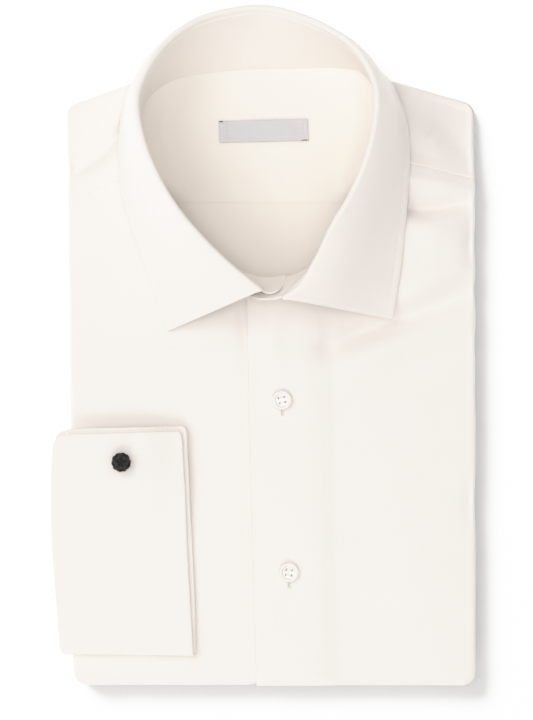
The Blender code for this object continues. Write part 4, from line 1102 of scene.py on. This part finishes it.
def collar():
    """The leaf with a groove along its stitches, and the stand that carries it."""
    grid = leaf_grid()
    gap = np.minimum(*edge_gap(grid))
    col = np.arange(grid.shape[1])[None, :]
    depth = 0.12 * np.exp(-(((gap - 2.4) / 1.6) ** 2)) - 0.22 * np.exp(-(((gap - STITCH_IN) / 0.7) ** 2))
    depth *= (col >= SEWN_COL) * smooth((col - CREST_COL) / 5.0)
    leaf = grid - grid_normals(grid) * depth[..., None]
    obj = sheet("collar_leaf_cloth", leaf, IVORY, COLLAR_T / 2, COLLAR_T / 2, flip=True, uv=arc_uv(leaf, 8))
    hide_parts("collar_leaf")
    under_leaf = np.concatenate([collar_rows()[0], grid[:, STAND_COL]], axis=1)[2:-2:6]
    fine = spline(np.concatenate([STAND_LEFT_END, under_leaf, STAND_RIGHT_END]), 260)
    t = np.linspace(0.0, 1.0, 14)[None, :, None]
    stand = fine[:, None, :3] * (1 - t) + fine[:, None, 3:] * t
    upper_end = (1.0 - smooth((np.arange(len(fine)) - 12.0) / 10.0))[:, None]
    stand[..., 1] += 0.9 * np.sin(math.pi * t[..., 0]) * upper_end
    obj = sheet("collar_stand_cloth", stand, IVORY, STAND_T / 2, STAND_T / 2)
    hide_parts("collar_stand")
    return leaf


# Cuff, sleeve and knot

def cuff_mid(y):
    return PACK_H + 0.5 + CUFF_OUT + KNOT_LIFT * (1.0 - smooth((-y - 64.0) / 54.0))


def cuff_path(left, right):
    """One half across: inner layer, fold and turned-back layer; x and distance out."""
    r = (CUFF_MID_OUT - CUFF_MID_IN) / 2
    mid = (CUFF_MID_OUT + CUFF_MID_IN) / 2
    turns = np.radians(np.linspace(-90, 90, 11))[1:-1]
    x = [np.linspace(CUFF_INNER_LEFT, right - r, 40), right - r + r * np.cos(turns),
         np.linspace(right - r, left, 44)]
    out = [np.full(40, CUFF_MID_IN), mid + r * np.sin(turns), np.full(44, CUFF_MID_OUT)]
    return np.concatenate(x), np.concatenate(out)


def french_cuff():
    """Both halves and the closed fold between them, pinned by the silk knot."""
    upper, under = spline(CUFF_UPPER, 88), spline(CUFF_UNDER, 88)
    shares = np.linspace(0.0, 1.0, 10)[1:-1]
    stations = [(*row, 0.0) for row in upper]
    stations += [(*(upper[-1] * (1 - t) + under[0] * t), math.pi * t) for t in shares]
    stations += [(*row, math.pi) for row in under]
    rows = []
    for y, left, right, turn in stations:
        x, out = cuff_path(left, right)
        slope = 0.029 - 0.044 * (-y - 48.0) / 129.0
        row_y = y + slope * (x + 80.0) - out * math.sin(turn)
        rows.append(np.stack([x, row_y, cuff_mid(y) + out * math.cos(turn)], axis=1))
    grid = np.array(rows)
    x, y = grid[..., 0], grid[..., 1]
    grid[..., 2] -= 0.62 * (cuff_mid(y) - cuff_mid(-150.0)) * smooth((x - LINK_X - 9.0) / 26.0)
    ox, oy = x - LINK_X, y - LINK_Y
    r, a = np.hypot(ox, oy), np.arctan2(oy, ox)
    top_rows, top_col = len(upper) + len(shares), 44
    upper_half = (np.arange(len(grid)) < top_rows)[:, None] & (np.arange(grid.shape[1]) > top_col)[None, :]
    pucker = 0.28 * np.cos(3 * a + 0.6) * np.exp(-(((r - 9.0) / 4.5) ** 2)) - 0.2 * np.exp(-((r / 6) ** 2))
    swell = 0.22 * np.sin(x / 13.0 + 0.7) * np.sin(y / 21.0 + 0.5) + 0.15 * np.sin((x - y) / 17.0)
    grid[..., 2] += np.where(upper_half, pucker + np.maximum(swell, -0.1), 0.0)
    obj = sheet("french_cuff_cloth", grid, IVORY, CUFF_T / 2, CUFF_T / 2, flip=True)
    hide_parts("french_cuff")


def sleeve():
    """The sleeve, a flattened tube, coming from behind round the side fold into the cuff."""
    line = spline([(x, 0.0, z) for x, z in SLEEVE_LINE], 46)
    path = line[:, [0, 2]]
    tangent = unit(np.gradient(path, axis=0))
    out = np.stack([tangent[:, 1], -tangent[:, 0]], axis=1)
    half = 0.62
    width = np.linspace(0.0, 1.0, 56)
    y_up = -171.5 + 101.5 * width
    bend = np.radians(np.linspace(90, 270, 9))[1:-1]
    loop_y = np.concatenate([y_up, y_up[-1] - half * np.cos(bend), y_up[::-1], y_up[0] + half * np.cos(bend)])
    flat = np.full(56, half)
    loop_o = np.concatenate([flat, half * np.sin(bend), -flat, -half * np.sin(bend)])
    share = np.clip((np.arange(46) / 45 * 8 - 1) / 6, 0.0, 1.0)
    grid = np.zeros((len(loop_y), 46, 3))
    for k in range(46):
        high = cuff_mid(loop_y)
        base = high - (high - cuff_mid(-150.0)) * smooth(share[k])
        wrinkle = 0.35 * np.sin(loop_y / 7.0 + k * 0.09) * math.sin(math.pi * k / 45) ** 0.5
        off = loop_o + wrinkle
        grid[:, k, 0] = path[k, 0] + out[k, 0] * off
        grid[:, k, 1] = loop_y
        grid[:, k, 2] = base + path[k, 1] + out[k, 1] * off
    obj = sheet("sleeve_cloth", grid, IVORY, 0.2, 0.2, wrap=True)
    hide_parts("sleeve_right")


def tube(path, radius, sides=8, closed=False):
    """Points, faces and map of a cord along a path."""
    path = np.asarray(path, float)
    n = len(path)
    fwd = unit(forward(path, closed))
    normal = np.zeros_like(path)
    last = np.array((0.0, 0.0, 1.0) if abs(fwd[0, 2]) < 0.999999 else (1.0, 0.0, 0.0))
    for k in range(n):
        last = normal[k] = unit(last - fwd[k] * (last @ fwd[k]))
    side = np.cross(fwd, normal)
    a = 2 * np.pi * np.arange(sides) / sides
    points = path[:, None] + radius * (
        np.cos(a)[None, :, None] * normal[:, None] + np.sin(a)[None, :, None] * side[:, None])
    idx = np.arange(n * sides).reshape(n, sides)
    if closed:
        faces = band(np.concatenate([idx, idx[:1]]))
    else:
        faces = band(idx) + [idx[0][::-1].tolist(), idx[-1].tolist()]
    uv = np.stack(np.broadcast_arrays(lengths(path)[:, None], a[None] * 1.2), axis=2)
    return points.reshape(-1, 3), faces, uv.reshape(-1, 2)


def joined(parts):
    points, faces, uvs, base = [], [], [], 0
    for p, f, uv in parts:
        points.append(p)
        uvs.append(uv)
        faces += [[k + base for k in face] for face in f]
        base += len(p)
    return np.concatenate(points), faces, np.concatenate(uvs)


def turks_head(centre, radius, height, cord):
    """A silk knot: one cord plaited round a ball, its two runs side by side."""
    leads, bights = 3, 5
    parts = []
    t = np.linspace(0.0, 2 * math.pi * leads, 420, endpoint=False)
    over = 0.68 * cord * np.sin(bights * t * 2 / leads)
    r = radius - cord + over
    for apart in (-0.45 * cord / radius, 0.45 * cord / radius):
        lon = t + apart
        lat = 1.12 * np.sin(bights * t / leads) + 1.5 * apart
        path = np.stack([
            centre[0] + r * np.cos(lat) * np.cos(lon),
            centre[1] + r * np.cos(lat) * np.sin(lon),
            centre[2] + (height - cord + over) * np.sin(lat)], axis=1)
        parts.append(tube(path, cord, 8, closed=True))
    return parts


def knot_core(centre, radius, height):
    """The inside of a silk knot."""
    rings, sides = 11, 28
    a = math.pi * np.arange(1, rings + 1)[:, None] / (rings + 1)
    b = 2 * math.pi * np.arange(sides)[None, :] / sides
    swell = 1.0 + 0.04 * np.cos(5 * b + 3 * a)
    points = np.stack([radius * swell * np.sin(a) * np.cos(b), radius * swell * np.sin(a) * np.sin(b),
                       height * swell * np.cos(a)], axis=2).reshape(-1, 3) + centre
    idx = np.arange(rings * sides).reshape(rings, sides)
    return points, band(idx[::-1]) + [idx[0].tolist(), idx[-1][::-1].tolist()], points[:, :2]


def silk_knot():
    """Two plaited knots on one cord through the cuff."""
    mid = cuff_mid(LINK_Y)
    off_cuff = CUFF_OUT + 0.3
    low_h = (mid - off_cuff - PACK_H - 0.4) / 2
    top = (LINK_X, LINK_Y, mid + off_cuff + 3.6)
    low = (LINK_X, LINK_Y, mid - off_cuff - low_h)
    parts = turks_head(top, 5.5, 3.9, 0.72) + [knot_core(top, 4.2, 2.9)]
    parts += turks_head(low, 4.9, low_h, 0.55) + [knot_core(low, 3.8, low_h - 0.8)]
    cord = [(LINK_X + 0.15 * math.sin(k), LINK_Y, low[2] + (top[2] - low[2]) * k / 12) for k in range(13)]
    parts.append(tube(cord, 1.05, 14))
    points, faces, uv = joined(parts)
    obj = piece_from("silk_knot", points, faces, SILK, uv)
    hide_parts("cufflink")


# Buttons, label and sewing

def drill(obj):
    """Cuts the four thread holes and returns the finished mesh."""
    cutters = []
    for x, y in HOLES:
        points, faces, _ = tube([(x, y, -1.0), (x, y, 4.0)], THREAD_HOLE_R, 20)
        mesh = bpy.data.meshes.new("hole")
        mesh.from_pydata(points.tolist(), [], faces)
        cutters.append(placed("hole", mesh))
        mod = obj.modifiers.new("hole", "BOOLEAN")
        mod.operation, mod.solver, mod.object = "DIFFERENCE", "EXACT", cutters[-1]
    made = bpy.data.meshes.new_from_object(obj.evaluated_get(bpy.context.evaluated_depsgraph_get()))
    obj.modifiers.clear()
    for cutter in cutters:
        bpy.data.objects.remove(cutter)
    return made


def button_sewing(deck):
    """Two runs of thread over the button's deck, down its holes and round its shank."""
    parts = [tube([(x, y, 0.1), (x, y, deck - 0.62)], 0.62, 10) for x, y in HOLES]
    t = np.linspace(-1.0, 1.0, 11)
    for side in (-1, 1):
        for lane in (-0.34, 0.0, 0.34):
            z = deck + 0.24 - 0.75 * np.abs(t) ** 8 - 0.15 * abs(lane)
            y = np.full(11, side * HOLE_PITCH + lane)
            parts.append(tube(np.stack([HOLE_PITCH * t, y, z], axis=1), 0.21, 6))
    k = np.arange(60)
    a = 2 * math.pi * k / 10
    parts.append(tube(np.stack([1.1 * np.cos(a), 1.1 * np.sin(a), 0.05 - 0.9 * k / 60], axis=1), 0.2, 6))
    return joined(parts)


def button(name, place, axis, radius, tilt=0.0):
    """Four-hole button with a raised rim and a dished middle, sewn on through its holes."""
    count = 56
    a = 2 * math.pi * np.arange(count) / count
    r, z = np.array(BUTTON_PROFILE).T[..., None]
    points = np.broadcast_arrays(radius * r * np.cos(a), radius * r * np.sin(a), BUTTON_H * z)
    idx = np.arange(r.size * count).reshape(-1, count)
    faces = band(idx) + [idx[0][::-1].tolist(), idx[-1].tolist()]
    mesh = bpy.data.meshes.new(name)
    mesh.from_pydata(np.stack(points, axis=2).reshape(-1, 3).tolist(), [], faces)
    obj = placed(name + "_shell", mesh)
    made = obj.data = drill(obj)
    turn = Vector((0, 0, 1)).rotation_difference(Vector(axis)).to_matrix()
    turn = turn @ Matrix.Rotation(math.radians(tilt), 3, "Z")
    for v in made.vertices:
        v.co = (Vector(place) + turn @ v.co) * MM
    made.materials.clear()
    made.materials.append(SHELL)
    made.shade_smooth()
    made.set_sharp_from_angle(angle=math.radians(50))
    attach(obj, "root")
    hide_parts(name)
    points, faces, uv = button_sewing(BUTTON_H * 0.66)
    thread = piece_from(name + "_thread", points @ np.array(turn).T + place, faces, THREAD, uv)


def buttons():
    for name, x, y, tilt in FRONT_BUTTONS:
        z = float(on_cloth(np.array(x), np.array(y))) + 0.55
        button(name, (x, y, z), (0.02, -0.015, 1.0), BUTTON_R, tilt)
        buttonhole(name + "_hole", x, y)
    *place, radius = COLLAR_BUTTON
    button("button_collar", place, (0.05, -0.89, -0.45), radius)


def neck_label():
    """Plain woven label, its ends folded under and sewn to the inside yoke."""
    cx, cy, length, height, turn = LABEL
    c, s = math.cos(math.radians(turn)), math.sin(math.radians(turn))
    u, v = np.meshgrid(np.linspace(-0.5, 0.5, 70), np.linspace(-0.5, 0.5, 18))
    a, b = u * length, v * height
    x, y = cx + a * c - b * s, cy + a * s + b * c
    z = FLOOR_Z + 0.95 + 0.16 * np.sin(a / 7.0 + 0.8) * (1 - (2 * v) ** 2 * 0.4)
    z += 0.25 * smooth((np.abs(a) - 20.5) / 1.2)
    z -= 0.22 * np.exp(-(((np.abs(a) - length / 2 + 1.3) / 0.4) ** 2))
    grid = np.stack([x, y, z], axis=2)
    obj = sheet("neck_label_cloth", grid, SATIN, 0.15, 0.2, flip=True, uv=np.stack([a, b], axis=2))
    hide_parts("neck_label")
    up = np.tile((0.0, 0.0, 1.0), (18, 1))
    face = grid + (0, 0, 0.15)
    sewing("label_stitching", stitches(face[:, 2], up, 1.6) + stitches(face[:, -3], up, 1.6))
    tacks = []
    for corner, run, rise in ((grid[-1, 0], 2.6, -0.5), (grid[0, -1], -4.2, -0.3)):
        for k in range(3):
            s = np.linspace(-0.12, 1.0, 8)[:, None]
            line = corner + s * (run * (1 - 0.2 * k), rise * (1 - k) * 0.6, 0.0)
            line[:, 2] += 0.25 - 0.5 * (2 * s[:, 0] - 1) ** 4
            tacks.append(tube(line, 0.17, 6))
    sewing("label_tacks", tacks, DARK_THREAD)


def stitches(path, normals, pitch=2.5):
    """Thread stitches along a line on the cloth."""
    s = lengths(path)
    share = np.linspace(-1, 1, 7)
    lift = 0.08 - 0.26 * np.abs(share) ** 3
    parts = []
    for k in range(int(s[-1] / pitch)):
        at = pitch * (k + 0.5 + 0.38 * share)
        p, n = (np.stack([np.interp(at, s, col) for col in rows.T], axis=1) for rows in (path, normals))
        parts.append(tube(p + unit(n) * lift[:, None], 0.15, 6))
    return parts


def sewing(name, parts, mat=None):
    points, faces, uv = joined(parts)
    piece_from(name, points, faces, mat or THREAD, uv)


def on_front(points):
    """Points on the upper front's face."""
    points = np.array(points)
    points[:, 2] += on_cloth(points[:, 0], points[:, 1]) + FRONT_HALF
    return points


def buttonhole(name, x, y):
    """A slit down the front, its two edges overcast close together, with a bar at each end; the slit is a
    dark cord of painted shade.
    """
    top, foot = y + 3.6, y - HOLE_LENGTH + 3.6
    parts = []
    for side in (-1, 1):
        for level in np.arange(foot, top, 0.42):
            across = [(x + side * (0.18 + 0.95 * s), level + 0.06 * side,
                       0.12 * math.sin(math.pi * (0.15 + 0.7 * s))) for s in np.linspace(0, 1, 5)]
            parts.append(tube(on_front(across), 0.17, 6))
    for level in (foot - 0.2, top + 0.2):
        for k in range(3):
            bar = [(x + s, level + 0.3 * (k - 1), 0.2 - 0.12 * abs(s)) for s in np.linspace(-1.2, 1.2, 7)]
            parts.append(tube(on_front(bar), 0.16, 6))
    sewing(name, parts)
    # A dark cord down the slit stands in for the shade inside it: painted shade.
    slit = [(x, level, -0.12) for level in np.linspace(foot, top, 24)]
    sewing(name + "_slit_shade", [tube(on_front(slit), 0.24, 6)], SHADE)


def line_on(grid, normals, level, gap):
    """Where a measured gap reaches a level along each row of a grid, with its normals."""
    path, up = [], []
    for row, n, g in zip(grid, normals, gap):
        k = np.where((g[:-1] >= level) & (g[1:] < level))[0]
        if len(k) == 0:
            continue
        k = k[-1]
        t = (g[k] - level) / (g[k] - g[k + 1])
        path.append(row[k] * (1 - t) + row[k + 1] * t)
        up.append(n[k] * (1 - t) + n[k + 1] * t)
    return np.array(path), np.array(up)


def collar_stitches(leaf):
    """The seam round the leaf: along its outer edge, then down each front edge."""
    outer, _ = edge_gap(leaf)
    path, up = line_on(leaf, -grid_normals(leaf), STITCH_IN, outer)
    ends = np.concatenate([leaf[0], leaf[-1]])
    keep = np.min(np.linalg.norm(path[:, None] - ends[None], axis=2), axis=1) >= STITCH_IN
    parts = stitches(path[keep] + up[keep] * COLLAR_T / 2, up[keep])
    for rows in (leaf[:40], leaf[::-1][:40]):
        parted = (rows, grid_normals(rows), -lengths(rows))
        cols, normals, gap = (np.swapaxes(part, 0, 1)[SEWN_COL:] for part in parted)
        path, up = line_on(cols, normals, -STITCH_IN, gap)
        up = up * np.sign(up[:, 2].mean())
        keep = np.linalg.norm(path - path[-1], axis=1) >= STITCH_IN
        parts += stitches(path[keep] + up[keep] * COLLAR_T / 2, up[keep])
    sewing("collar_stitching", parts)


# Room

def lights(ground):
    """Soft studio light; one lamp is for the floor alone, so that the shadow on it is the photo's."""
    world = bpy.data.worlds.new("studio")
    bpy.context.scene.world = world
    world.use_nodes = True
    back = world.node_tree.nodes["Background"]
    back.inputs["Color"].default_value = (1.0, 1.0, 1.0, 1.0)
    back.inputs["Strength"].default_value = WORLD
    for name, azimuth, elevation, distance, size, power in LIGHTS:
        a, e = math.radians(azimuth), math.radians(elevation)
        place = Vector((math.cos(a) * math.cos(e), math.sin(a) * math.cos(e), math.sin(e))) * distance
        lamp = bpy.data.lights.new(name, "AREA")
        lamp.shape, lamp.size, lamp.energy = "DISK", size, power
        obj = placed(name, lamp)
        obj.location = place
        obj.rotation_mode = "QUATERNION"
        obj.rotation_quaternion = place.to_track_quat("Z", "Y")
        if name == "floor":
            lit = bpy.data.collections.new("lit floor")
            lit.objects.link(ground)
            obj.light_linking.receiver_collection = lit


def floor():
    mesh = bpy.data.meshes.new("floor")
    corners = ((-1, -1), (1, -1), (1, 1), (-1, 1))
    mesh.from_pydata([(x * FLOOR_REACH, y * FLOOR_REACH, -0.0002) for x, y in corners], [], [(0, 1, 2, 3)])
    mesh.materials.append(floor_material())
    obj = placed("floor", mesh)
    return obj


def camera():
    """Straight above the shirt, as the photo was taken."""
    data = bpy.data.cameras.new("camera")
    data.sensor_fit = "VERTICAL"
    data.sensor_height = SENSOR
    data.sensor_width = SENSOR
    data.lens = SENSOR * (CAMERA_Z - SEEN_LEVEL) / SEEN_HEIGHT
    data.clip_start, data.clip_end = 0.05, 20.0
    obj = placed("camera", data)
    obj.location = (PHOTO_CENTRE[0] * MM, PHOTO_CENTRE[1] * MM, CAMERA_Z * MM)
    bpy.context.scene.camera = obj


def film():
    """Highlights bend over toward white."""
    view = bpy.context.scene.view_settings
    view.view_transform = "Standard"
    view.use_curve_mapping = True
    curve = view.curve_mapping.curves[3]
    curve.points[1].location = (FILM_WHITE, 1.0)
    view.curve_mapping.clip_max_x = FILM_WHITE
    left = 1.0 - SHOULDER
    for x in (SHOULDER, *np.linspace(SHOULDER + 0.04, 2.0, 24)):
        curve.points.new(x, SHOULDER + left * (1.0 - math.exp((SHOULDER - x) / left)))
    view.curve_mapping.update()


camera()
film()
lights(floor())
front_right()
front_left()
shoulder_yoke("yoke_left", LEFT_YOKE, 1, YOKE_END_X[0], SHOULDER_SLOPE[0])
shoulder_yoke("yoke_right", RIGHT_YOKE, -1, YOKE_END_X[1], SHOULDER_SLOPE[1])
hidden_folds()
back_cloth()
yoke_inner()
collar_stitches(collar())
french_cuff()
sleeve()
silk_knot()
buttons()
neck_label()
